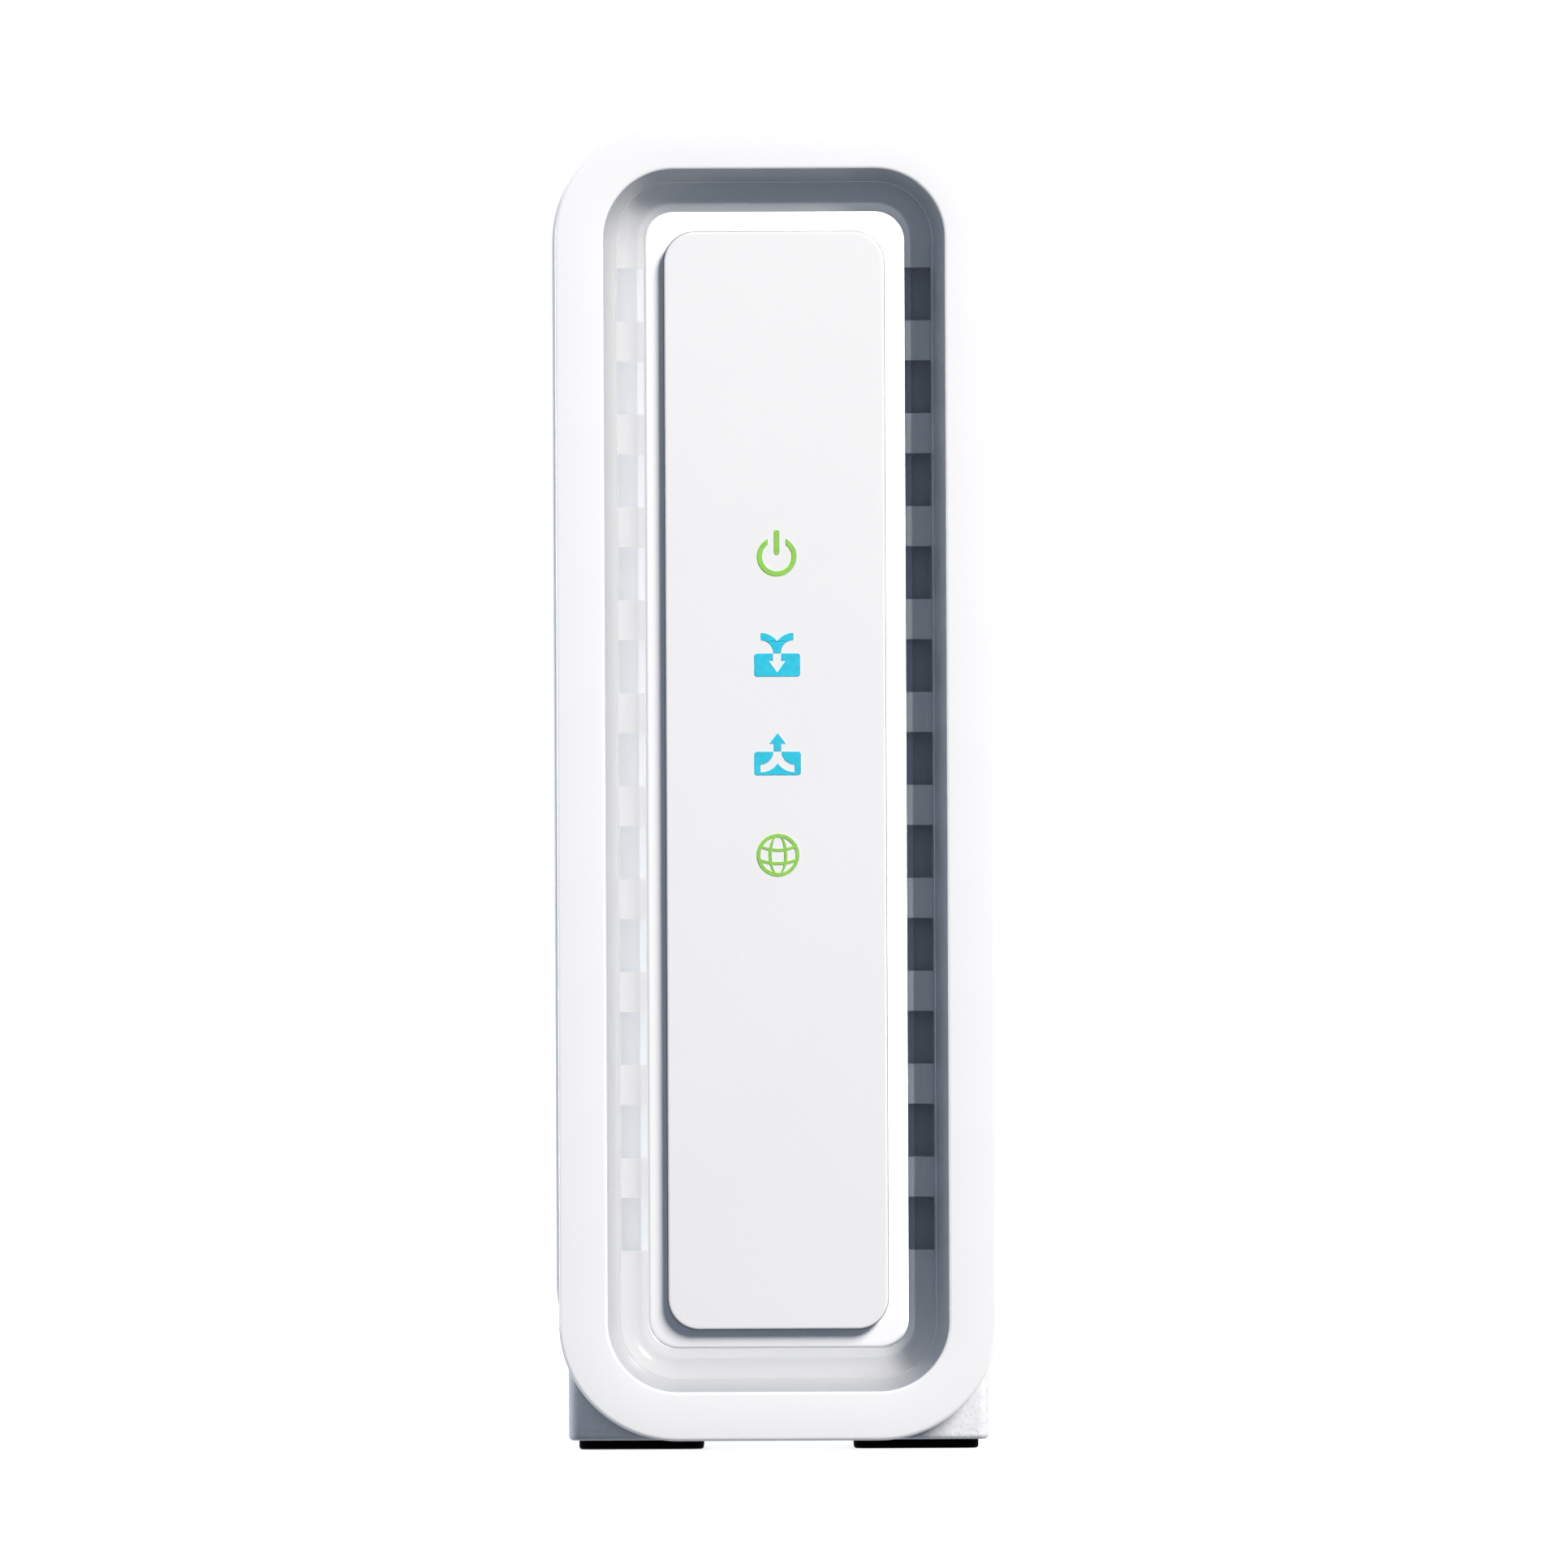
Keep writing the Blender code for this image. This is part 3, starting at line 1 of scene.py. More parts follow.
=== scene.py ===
"""Looks of the slim upright cable modem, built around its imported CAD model.

Units are metres in the CAD model's frame: the modem stands on z = 0, its front faces -Y and +X
is to the right seen from the front. The visible pieces are made again here with fine surfaces,
in the places of their CAD nodes, and what lies inside keeps its CAD shape.
"""

import math

import bmesh
import bpy
from mathutils import Euler, Matrix, Vector


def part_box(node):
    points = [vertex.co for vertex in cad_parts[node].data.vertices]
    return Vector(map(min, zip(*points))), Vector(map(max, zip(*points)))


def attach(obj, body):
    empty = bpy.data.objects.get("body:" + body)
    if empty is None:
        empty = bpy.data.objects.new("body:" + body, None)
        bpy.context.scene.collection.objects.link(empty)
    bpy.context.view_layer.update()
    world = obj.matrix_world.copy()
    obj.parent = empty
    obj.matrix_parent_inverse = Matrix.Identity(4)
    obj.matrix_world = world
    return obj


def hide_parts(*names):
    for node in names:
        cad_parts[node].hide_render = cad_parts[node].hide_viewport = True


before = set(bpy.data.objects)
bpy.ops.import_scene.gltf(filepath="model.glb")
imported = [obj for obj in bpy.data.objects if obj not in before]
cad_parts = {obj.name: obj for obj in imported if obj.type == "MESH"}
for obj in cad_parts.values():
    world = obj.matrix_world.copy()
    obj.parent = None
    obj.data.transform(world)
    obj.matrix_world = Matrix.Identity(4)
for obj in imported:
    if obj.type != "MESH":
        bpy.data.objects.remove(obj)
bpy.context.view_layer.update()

HOUSING = "housing"
GAP = 0.0003  # clearance between pieces that touch
HAIRLINE = 0.00002  # between pieces of one moulding
DEEP = 0.02  # how far a cutter runs past the wall that it cuts
WELD = 1e-6
CORNER_STEPS = 24
ROUND_STEPS = 64
FILLET_STEPS = 4
EDGE_STEPS = 8
SHARP = math.radians(35)

TO_FRONT = Euler((math.pi / 2, 0, 0))  # local z looks out of the front, local y is up
TO_BACK = Euler((-math.pi / 2, 0, 0))  # local z looks out of the back
TO_RIGHT = Matrix(((0, 0, 1), (1, 0, 0), (0, 1, 0))).to_euler()  # local z is +X, local x is +Y
UPRIGHT = Euler((0, 0, 0))


def middle(node):
    return sum(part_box(node), Vector()) / 2


# Front, measured back from the bezel's face
FRONT_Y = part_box("front_bezel")[0].y
BEZEL_WIDTH = 0.0439
BEZEL_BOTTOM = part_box("front_bezel")[0].z
BEZEL_HEIGHT = 0.1320
BEZEL_RADIUS = 0.0119
BEZEL_DEPTH = 0.0067
BEZEL_THICKNESS = 0.0019
RING_WIDTH = 0.0049
CROWN = 0.00008  # how far its middle stands out over its two edges
OUTER_EDGE = 0.0004
INNER_EDGE = 0.00035
WALL_LEAN = 0.00125
WALL_DEPTH = 0.0039
WALL_THICKNESS = 0.0016
WALL_EDGE = 0.00012
FRONT_Z = BEZEL_BOTTOM + BEZEL_HEIGHT / 2
OPENING = (BEZEL_WIDTH - 2 * RING_WIDTH, BEZEL_HEIGHT - 2 * RING_WIDTH, BEZEL_RADIUS - RING_WIDTH)
SNAP_SIZE = (0.0012, 0.0097, 0.0100)  # thickness, length, width
SNAP_HEIGHTS = (0.030, 0.067, 0.104)
FRONT = {"at": (0, FRONT_Y, FRONT_Z), "turn": TO_FRONT}

CHANNEL_TOP = -(WALL_DEPTH + GAP)
FLOOR_DEPTH = 0.0061
FLOOR_THICKNESS = 0.0016
FLANGE = 0.0012
COVE_WIDTH = 0.0023
COVE_BACK_END = -27  # degrees round its back, where the cove meets the flange
COVE_STEPS = (16, 10)
ISLAND = (0.0261, 0.1137, 0.0030)
ISLAND_FRONT = -0.0009
RIM_DEPTH = 0.0003  # of the part that has its own key light
ISLAND_BACK = -0.0077
ISLAND_EDGE = 0.00035
ISLAND_OVERLAP = 0.0006
VENT_COUNT = 11
VENT_PITCH = 0.0093
VENT_HEIGHT = 0.0053
VENT_WIDTH = 0.0026
VENT_MIDDLE_Z = 0.0691
BAFFLE_LEDGE = ((0.0128, 0.0137), (-0.0096, -0.0072))  # its reach in x, and back and front
BAFFLE_PLATE = ((0.0133, 0.0162), (-0.0097, -0.0085))
BAFFLE_MARGIN = 0.0010
SEAT_FLOOR = -0.0026
SEAT_THICKNESS = 0.0015
SEAT_GAP = 0.00006
GUIDE_HOLE = 0.0030

PLATE = (0.0220, 0.1097, 0.0031)
PLATE_FRONT = -0.0003
PLATE_BACK = -0.0023
PLATE_EDGE = 0.00022
PLATE_STEPS = 6
PLATE_WEB = 0.0008

# Icons on the face plate, in their own millimetres
MILLIMETRE = 0.001
ICON_FOOT = -0.0001  # behind the plate's face
ICON_RISE = 0.00008
ICON_EDGE = 0.00004
ICON_X = 0.0002

# Housing
SHELL_LOW, SHELL_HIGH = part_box("left_shell")
SHELL_WIDTH = -2 * SHELL_LOW.x
SHELL_HEIGHT = SHELL_HIGH.z - SHELL_LOW.z
SHELL_RADIUS = 0.0123
SHELL_WALL = 0.0020
SHELL_Z = (SHELL_HIGH.z + SHELL_LOW.z) / 2
SEAM = 0.00008
REAR_EDGE_RADIUS = 0.0015
FRONT_EDGE_RADIUS = 0.0003
INSIDE_EDGE_RADIUS = 0.0002
LIP_WIDTH = 0.0012
LIP_DEPTH = 0.0015
PANEL_THICKNESS = 0.0020
PANEL_OUTSIDE_Y = SHELL_HIGH.y - LIP_DEPTH - GAP
PANEL_INSIDE_Y = PANEL_OUTSIDE_Y - PANEL_THICKNESS
PANEL_INSET = SHELL_WALL + GAP
TONGUE_REACH = 0.0012
TONGUE_ROOT = 0.0006
TONGUE_Z = (0.00005, 0.00085)
REBATE_CUT = 0.0010
LAP_Y = (SHELL_LOW.y + 0.0022, 0.0490)

# Screws, bosses and posts inside the shells
SCREW_HOLE = 0.0016
BOSS_RADIUS = 0.0032
BOSS_TOP = 0.0130
PILOT_TOP = 0.0118
POST_END_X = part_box("main_board")[0].x - GAP
BASE_SCREWS = [f"base_screw_{number}" for number in (1, 2, 3, 4)]
BOARD_SCREWS = [f"board_screw_{number}" for number in (1, 2, 3, 4)]

# Base and feet
BASE_LOW, BASE_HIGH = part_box("base")
BASE_EDGE = 0.0005
HEAD_ROOM = 0.0033
HEAD_HOLE = 0.0030
FEET = ("foot_front_left", "foot_front_right", "foot_rear_left", "foot_rear_right")
FOOT_RADIUS = 0.0015
FOOT_EDGE = 0.0003

# Rear connectors
COAX_Z = middle("coax_nut").z
COAX_AXIS = (0, 0, COAX_Z)
COAX_END_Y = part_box("coax_connector")[1].y
COAX_RADIUS = 0.0047
COAX_ROOT = 0.00425
COAX_NECK_RADIUS = 0.0045
COAX_BORE_RADIUS = 0.0030
COAX_BORE_DEPTH = 0.0095
COAX_CHAMFER = 0.0003
COAX_HOLE_RADIUS = 0.0051
COAX_BLOCK_EDGE = 0.0006
PIN_HOLE_RADIUS = 0.0008
PIN_HOLE_DEPTH = 0.0040
PIN_HOLE_MOUTH = (0.0004, 0.0005)  # how much wider, and how deep
INSULATOR_EDGE = 0.00025
NUT_CONE = (0.0006, 0.0002, 0.00055)  # its rims outside and inside the flats, and its height
NUT_EDGE = 0.00008
WASHER_EDGE = 0.00012
THREAD_PITCH = 0.00079
THREAD_START_Y = PANEL_OUTSIDE_Y + 0.0012
THREAD_ROWS = 8  # rows of points in one turn's length
THREAD_FLAT = 1.35  # over 1 flattens the crests
REAR_VENT_COUNT = 6
REAR_VENT_SIZE = (0.0260, 0.0024, 0.00118)
REAR_VENT_STEPS = 10
REAR_VENT_PITCH = 0.0042
REAR_VENT_MIDDLE_Z = 0.1130
RESET_HOLE_RADIUS = 0.0016
PANEL_EDGE = 0.00025
POWER_BORE_RADIUS = 0.0032
POWER_BORE_DEPTH = 0.0095
POWER_BORE_MOUTH = (0.0005, 0.0004)
JACK_CORNER = 0.0005
JACK_EDGE = 0.0002
PIN_SIDES = 24
PIN_ROUNDING = 0.7  # of its radius
RESET_STEM = 0.0011
RESET_COLLAR = (0.0008, 0.0007)  # from the switch, and its thickness
RESET_EDGES = (0.0002, 0.00012, 0.0004)  # inner end, collar and outer end
RESET_SIDES = 32


# Outlines, as lists of (x, y)


def arc(centre, radii, start, end, steps):
    """Points on an ellipse from one angle in degrees to another, both ends included."""
    points = []
    for step in range(steps + 1):
        angle = math.radians(start + (end - start) * step / steps)
        points.append((centre[0] + radii[0] * math.cos(angle), centre[1] + radii[1] * math.sin(angle)))
    return points


def filleted(corners, steps=FILLET_STEPS):
    """A closed outline through corners (x, y, radius), each rounded by its own radius."""
    points = []
    for index, (x, y, radius) in enumerate(corners):
        here = Vector((x, y))
        if radius == 0:
            points.append((x, y))
            continue
        before = (Vector(corners[index - 1][:2]) - here).normalized()
        after = (Vector(corners[(index + 1) % len(corners)][:2]) - here).normalized()
        half = before.angle(after) / 2
        centre = here + (before + after).normalized() * radius / math.sin(half)
        start = here + before * radius / math.tan(half) - centre
        turn = start.angle_signed(here + after * radius / math.tan(half) - centre)
        for step in range(steps + 1):
            spot = centre + Matrix.Rotation(-turn * step / steps, 2) @ start
            points.append((spot.x, spot.y))
    return points


def rounded_box(width, height, radius, centre=(0, 0), steps=CORNER_STEPS):
    x = width / 2
    y = height / 2
    corners = [(x, -y, radius), (x, y, radius), (-x, y, radius), (-x, -y, radius)]
    return [(px + centre[0], py + centre[1]) for px, py in filleted(corners, steps)]


def circle(radius, centre=(0, 0), steps=ROUND_STEPS):
    return arc(centre, (radius, radius), 0, 360 * (steps - 1) / steps, steps - 1)


# Stations of a path, as (point, outward direction)


def box_stations(width, height, radius):
    """Round a rectangle with round corners, anticlockwise from the top of its right side."""
    x = width / 2 - radius
    y = height / 2 - radius
    made = []
    for quarter, corner in enumerate(((x, y), (-x, y), (-x, -y), (x, -y))):
        for step in range(CORNER_STEPS + 1):
            angle = math.radians(90 * (quarter + step / CORNER_STEPS))
            out = Vector((math.cos(angle), math.sin(angle)))
            made.append((Vector(corner) + radius * out, out))
    return made


def half_stations(width, height, radius, seam):
    """The right half of a rectangle with round corners, from its bottom seam to its top."""
    made = [(Vector((seam, -height / 2)), Vector((0, -1)))]
    right = box_stations(width, height, radius)
    made += right[-CORNER_STEPS - 1 :]
    made += right[: CORNER_STEPS + 1]
    made.append((Vector((seam, height / 2)), Vector((0, 1))))
    return made


def axis_stations(steps=ROUND_STEPS):
    """Round the local z axis, for turned shapes."""
    made = []
    for step in range(steps):
        angle = 2 * math.pi * step / steps
        made.append((Vector((0, 0)), Vector((math.cos(angle), math.sin(angle)))))
    return made


# Meshes


def finished(bm, name):
    """Weld the loose seams, turn the faces outwards and hand back the mesh."""
    bmesh.ops.remove_doubles(bm, verts=bm.verts, dist=WELD)
    bmesh.ops.recalc_face_normals(bm, faces=bm.faces)
    mesh = bpy.data.meshes.new(name)
    bm.to_mesh(mesh)
    bm.free()
    return mesh


def placed(mesh, at=(0, 0, 0), turn=UPRIGHT):
    mesh.transform(Matrix.LocRotScale(Vector(at), turn, None))
    return mesh


def point_rows(bm, stations, section):
    rows = []
    for point, out in stations:
        spots = [(*(point + along * out), rise) for along, rise in section]
        rows.append([bm.verts.new(spot) for spot in spots])
    return rows


def join_rows(bm, first, second, closed):
    count = len(first)
    for index in range(count if closed else count - 1):
        follow = (index + 1) % count
        bm.faces.new((first[index], second[index], second[follow], first[follow]))


def swept(name, stations, section, loop=True):
    """Carry a closed section round a path. Its x points out of the path, and its y is local z."""
    bm = bmesh.new()
    rows = point_rows(bm, stations, section)
    for first, second in zip(rows, rows[1:]):
        join_rows(bm, first, second, True)
    if loop:
        join_rows(bm, rows[-1], rows[0], True)
    else:
        bm.faces.new(rows[0])
        bm.faces.new(rows[-1][::-1])
    return finished(bm, name)


def lidded(name, stations, profile):
    """A solid plate: an open profile carried round a path, closed by two flat faces."""
    bm = bmesh.new()
    rows = point_rows(bm, stations, profile)
    for index, row in enumerate(rows):
        join_rows(bm, rows[index - 1], row, False)
    bm.faces.new([row[0] for row in rows])
    bm.faces.new([row[-1] for row in rows][::-1])
    return finished(bm, name)


def plate_profile(front, back, edge, steps=FILLET_STEPS):
    """The side of a plate whose front edge is rounded, with a flat rim before the rounding."""
    profile = [(-2 * edge, front)]
    profile += arc((-edge, front - edge), (edge, edge), 90, 0, steps)
    profile += [(0, back)]
    return profile


def foot_profile(low, edge):
    """The lower part of a plate's side, from under its rounded lower edge."""
    return [(-2 * edge, low), *arc((-edge, low + edge), (edge, edge), -90, 0, FILLET_STEPS)]


def turned(name, section, at, sides=ROUND_STEPS):
    """A solid turned about an axis that points out of the back, from a section (radius, y)."""
    return placed(swept(name, axis_stations(sides), section), at, TO_BACK)


def prism(name, outlines, low, high):
    """Flat outlines, the later ones as holes in the first, thickened along local z."""
    curve = bpy.data.curves.new(name, "CURVE")
    curve.dimensions = "2D"
    curve.fill_mode = "BOTH"
    curve.extrude = (high - low) / 2
    for outline in outlines:
        line = curve.splines.new("POLY")
        line.points.add(len(outline) - 1)
        for spot, (x, y) in zip(line.points, outline):
            spot.co = (x, y, 0, 1)
        line.use_cyclic_u = True
    helper = bpy.data.objects.new(name, curve)
    bpy.context.scene.collection.objects.link(helper)
    graph = bpy.context.evaluated_depsgraph_get()
    raw = bpy.data.meshes.new_from_object(helper.evaluated_get(graph))
    bm = bmesh.new()
    bm.from_mesh(raw)
    bpy.data.objects.remove(helper)
    bmesh.ops.translate(bm, vec=(0, 0, (high + low) / 2), verts=bm.verts)
    return finished(bm, name)


def boxes(name, sizes_and_centres):
    bm = bmesh.new()
    for size, centre in sizes_and_centres:
        made = bmesh.ops.create_cube(bm, size=1)["verts"]
        bmesh.ops.scale(bm, vec=size, verts=made)
        bmesh.ops.translate(bm, vec=centre, verts=made)
    return finished(bm, name)


def rods(name, radius, low, high, centres):
    """Round rods along local z, one at each (x, y)."""
    bm = bmesh.new()
    for x, y in centres:
        made = bmesh.ops.create_cone(
            bm, cap_ends=True, segments=ROUND_STEPS // 2, radius1=radius, radius2=radius, depth=high - low
        )
        bmesh.ops.translate(bm, vec=(x, y, (high + low) / 2), verts=made["verts"])
    return finished(bm, name)


def combined(mesh, tool, operation):
    """The mesh with a tool cut from it or joined to it, or the part of it inside the tool."""
    name = mesh.name
    body = bpy.data.objects.new("body", mesh)
    other = bpy.data.objects.new("tool", tool)
    for helper in (body, other):
        bpy.context.scene.collection.objects.link(helper)
    modifier = body.modifiers.new("boolean", "BOOLEAN")
    modifier.operation = operation
    modifier.solver = "MANIFOLD"
    modifier.object = other
    graph = bpy.context.evaluated_depsgraph_get()
    made = bpy.data.meshes.new_from_object(body.evaluated_get(graph))
    bpy.data.objects.remove(body)
    bpy.data.objects.remove(other)
    bpy.data.meshes.remove(mesh)
    bpy.data.meshes.remove(tool)
    made.name = name
    return made


def cut_by(mesh, *tools):
    for tool in tools:
        mesh = combined(mesh, tool, "DIFFERENCE")
    return mesh


def joined(mesh, *tools):
    for tool in tools:
        mesh = combined(mesh, tool, "UNION")
    return mesh


# Pieces


def round_edges(made, width):
    modifier = made.modifiers.new("edges", "BEVEL")
    modifier.width = width
    modifier.segments = 2
    modifier.limit_method = "ANGLE"
    modifier.angle_limit = SHARP


def piece(name, mesh, slot, stands_for=(), edge=0.0, body=HOUSING):
    """Show one piece in a slot's finish, in the place of the CAD nodes that it stands for."""
    mesh.shade_smooth()
    mesh.set_sharp_from_angle(angle=SHARP)
    mesh.materials.clear()
    mesh.materials.append(looks[slot])
    made = bpy.data.objects.new(name, mesh)
    bpy.context.scene.collection.objects.link(made)
    if edge:
        round_edges(made, edge)
    even = made.modifiers.new("even_shading", "WEIGHTED_NORMAL")
    even.keep_sharp = True
    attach(made, body)
    if stands_for:
        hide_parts(*stands_for)
    return made


# Materials

MATT_SPECULAR = 0.06
COAT_ROUGHNESS = 0.08
EDGE_SAMPLES = 4
EDGE_DOTS = (0.9, 0.995)  # of the two normals, on a full edge and off it


def shade(color, factor):
    return tuple(min(1.0, part * factor) for part in color)


def set_range(node, start, end, low, high):
    """Make a Map Range node turn start..end into low..high."""
    for name, number in zip(("From Min", "From Max", "To Min", "To Max"), (start, end, low, high)):
        node.inputs[name].default_value = number


class Look:
    """A Principled material with the node steps that the finishes share."""

    def __init__(self, name, color, roughness, metallic=0.0):
        self.material = bpy.data.materials.new(name)
        self.material.use_nodes = True
        self.material.diffuse_color = (*color, 1)
        self.tree = self.material.node_tree
        self.shader = self.tree.nodes["Principled BSDF"]
        self.color = color
        self.roughness = roughness
        self.shader.inputs["Metallic"].default_value = metallic
        self.coords = self.add("ShaderNodeTexCoord").outputs["Object"]

    def add(self, kind, **inputs):
        made = self.tree.nodes.new(kind)
        for name, value in inputs.items():
            self.feed(made.inputs[name.replace("_", " ")], value)
        return made

    def feed(self, socket, value):
        if isinstance(value, bpy.types.NodeSocket):
            self.tree.links.new(value, socket)
        else:
            socket.default_value = value

    def stretched(self, scale):
        return self.add("ShaderNodeMapping", Vector=self.coords, Scale=scale).outputs["Vector"]

    def noise(self, scale, detail=3.0, roughness=0.5, coords=None):
        made = self.add("ShaderNodeTexNoise", Scale=scale, Detail=detail, Roughness=roughness)
        self.feed(made.inputs["Vector"], coords or self.coords)
        return made.outputs["Fac"]

    def spread(self, value, low, high, start=0.3, end=0.7):
        """Map start..end of a texture to low..high."""
        made = self.add("ShaderNodeMapRange", Value=value)
        set_range(made, start, end, low, high)
        return made.outputs["Result"]

    def mixed(self, share, first, second):
        made = self.add("ShaderNodeMix")
        made.data_type = "RGBA"
        sockets = [s for s in made.inputs if s.enabled]
        for socket, value in zip(sockets, (share, first, second)):
            self.feed(socket, (*value, 1) if isinstance(value, tuple) and len(value) == 3 else value)
        return next(s for s in made.outputs if s.enabled)

    def math(self, operation, first, second):
        made = self.add("ShaderNodeMath")
        made.operation = operation
        self.feed(made.inputs[0], first)
        self.feed(made.inputs[1], second)
        return made.outputs[0]

    def edges(self, radius):
        """1 on convex and concave edges, falling to 0 within a radius."""
        soft = self.add("ShaderNodeBevel", Radius=radius)
        soft.samples = EDGE_SAMPLES
        geometry = self.add("ShaderNodeNewGeometry")
        dot = self.add("ShaderNodeVectorMath")
        dot.operation = "DOT_PRODUCT"
        self.feed(dot.inputs[0], soft.outputs["Normal"])
        self.feed(dot.inputs[1], geometry.outputs["Normal"])
        return self.spread(dot.outputs["Value"], 1.0, 0.0, *EDGE_DOTS)

    def varied(self, texture, low, high):
        """The colour times low to high, as a texture goes."""
        return self.mixed(self.spread(texture, 0, 1), shade(self.color, low), shade(self.color, high))

    def rubbed(self, tint, radius, share, paler):
        """The tint, mixed on its edges with a share of paler times the colour."""
        worn = self.math("MULTIPLY", self.edges(radius), share)
        return self.mixed(worn, tint, shade(self.color, paler))

    def bump(self, height, distance, under=None):
        made = self.add("ShaderNodeBump", Height=height, Distance=distance, Strength=1.0)
        if under is not None:
            self.feed(made.inputs["Normal"], under)
        return made.outputs["Normal"]

    def finish(self, color, roughness, normal):
        self.feed(self.shader.inputs["Base Color"], color)
        self.feed(self.shader.inputs["Roughness"], roughness)
        self.feed(self.shader.inputs["Normal"], normal)
        return self.material


def moulded(name, color, roughness, grain=2600, depth=0.000004, mottle=0.015, coat=0.0, rough_by=0.05):
    """Moulded plastic: faint flow mottling, a fine grain and slightly uneven gloss."""
    look = Look(name, color, roughness)
    flow = look.noise(28, 2.0)
    cloud = look.noise(190, 4.0, 0.6)
    tint = look.varied(flow, 1 - mottle, 1 + mottle / 2)
    tint = look.mixed(look.spread(cloud, 0.0, 0.5), tint, shade(color, 1 - mottle))
    gloss = look.spread(look.noise(95, 5.0, 0.65), roughness - rough_by, roughness + rough_by)
    skin = look.bump(look.noise(grain, 2.0, 0.6), depth)
    wave = look.bump(look.noise(120, 1.0), 0.000012, skin)
    look.shader.inputs["Coat Weight"].default_value = coat
    look.shader.inputs["Coat Roughness"].default_value = COAT_ROUGHNESS
    return look.finish(tint, gloss, wave)


def spark_plastic(name, color, roughness):
    """Spark-eroded plastic: coarse pits over a fine grain, with paler rubbed edges."""
    look = Look(name, color, roughness)
    coarse = look.noise(2500, 4.0, 0.7)
    fine = look.noise(4200, 2.0, 0.6)
    tint = look.rubbed(look.varied(coarse, 0.89, 1.05), 0.0004, 0.25, 1.12)
    gloss = look.spread(fine, roughness - 0.08, roughness + 0.08)
    return look.finish(tint, gloss, look.bump(coarse, 0.00007, look.bump(fine, 0.00003)))


def rubber(name, color, roughness):
    """Black rubber: matt, with mould grain, dusty patches and paler scuffed edges."""
    look = Look(name, color, roughness)
    dust = look.noise(260, 6.0, 0.65)
    grain = look.noise(3300, 3.0, 0.6)
    tint = look.mixed(look.spread(dust, 0, 1, 0.45, 0.75), color, shade(color, 1.9))
    tint = look.rubbed(tint, 0.0003, 0.5, 3.0)
    gloss = look.spread(dust, roughness - 0.08, roughness + 0.12)
    look.shader.inputs["Specular IOR Level"].default_value = MATT_SPECULAR
    return look.finish(tint, gloss, look.bump(grain, 0.00003))


def metal(name, color, roughness, stretch=(1, 1, 1), depth=0.000003):
    """Plated or milled metal: drawn streaks, cloudy gloss, and brighter rubbed edges."""
    look = Look(name, color, roughness, 1.0)
    streak = look.noise(2400, 4.0, 0.6, look.stretched(stretch))
    cloud = look.noise(420, 4.0, 0.6)
    tint = look.rubbed(look.varied(cloud, 0.86, 1.05), 0.00015, 0.4, 1.25)
    gloss = look.spread(cloud, roughness - 0.05, roughness + 0.09)
    gloss = look.math("ADD", gloss, look.spread(streak, -0.04, 0.05))
    return look.finish(tint, gloss, look.bump(streak, depth))


def board(name, color, roughness):
    """Solder mask over copper: tracks and pads show through as paler, slightly raised green."""
    look = Look(name, color, roughness)
    tracks = look.add("ShaderNodeTexVoronoi", Scale=620.0, Vector=look.stretched((0.02, 1, 1)))
    tracks.feature = "DISTANCE_TO_EDGE"
    pads = look.add("ShaderNodeTexVoronoi", Scale=330.0, Vector=look.stretched((0.02, 1, 1)))
    pads.distance = "CHEBYCHEV"
    copper = look.spread(tracks.outputs["Distance"], 1.0, 0.0, 0.05, 0.09)
    via = look.spread(pads.outputs["Distance"], 1.0, 0.0, 0.13, 0.17)
    tint = look.varied(look.noise(60), 1, 0.8)
    tint = look.mixed(copper, tint, shade(color, 1.9))
    tint = look.mixed(via, tint, (0.62, 0.60, 0.52))
    gloss = look.spread(look.noise(800), roughness - 0.08, roughness + 0.1)
    return look.finish(tint, gloss, look.bump(look.math("ADD", copper, via), 0.00003))


def lit_icon_window(name, color, roughness):
    """Window in the face plate, its base colour a painted glow of its LED's light shining through it: a
    little unevenly filled.
    """
    look = Look(name, color, roughness)
    fill = look.noise(1700, 3.0, 0.6)
    tint = look.varied(fill, 0.90, 1.08)
    gloss = look.spread(look.noise(900), roughness - 0.05, roughness + 0.08)
    return look.finish(tint, gloss, look.bump(fill, 0.000006))


def chip(name, color, roughness):
    """Moulded epoxy: sandblasted top and a slightly paler, rubbed edge."""
    look = Look(name, color, roughness)
    grain = look.noise(5200, 2.0, 0.7)
    cloud = look.noise(300, 3.0)
    tint = look.rubbed(look.varied(cloud, 1, 1.5), 0.0003, 0.4, 2.6)
    gloss = look.spread(cloud, roughness - 0.07, roughness + 0.1)
    return look.finish(tint, gloss, look.bump(grain, 0.00001))
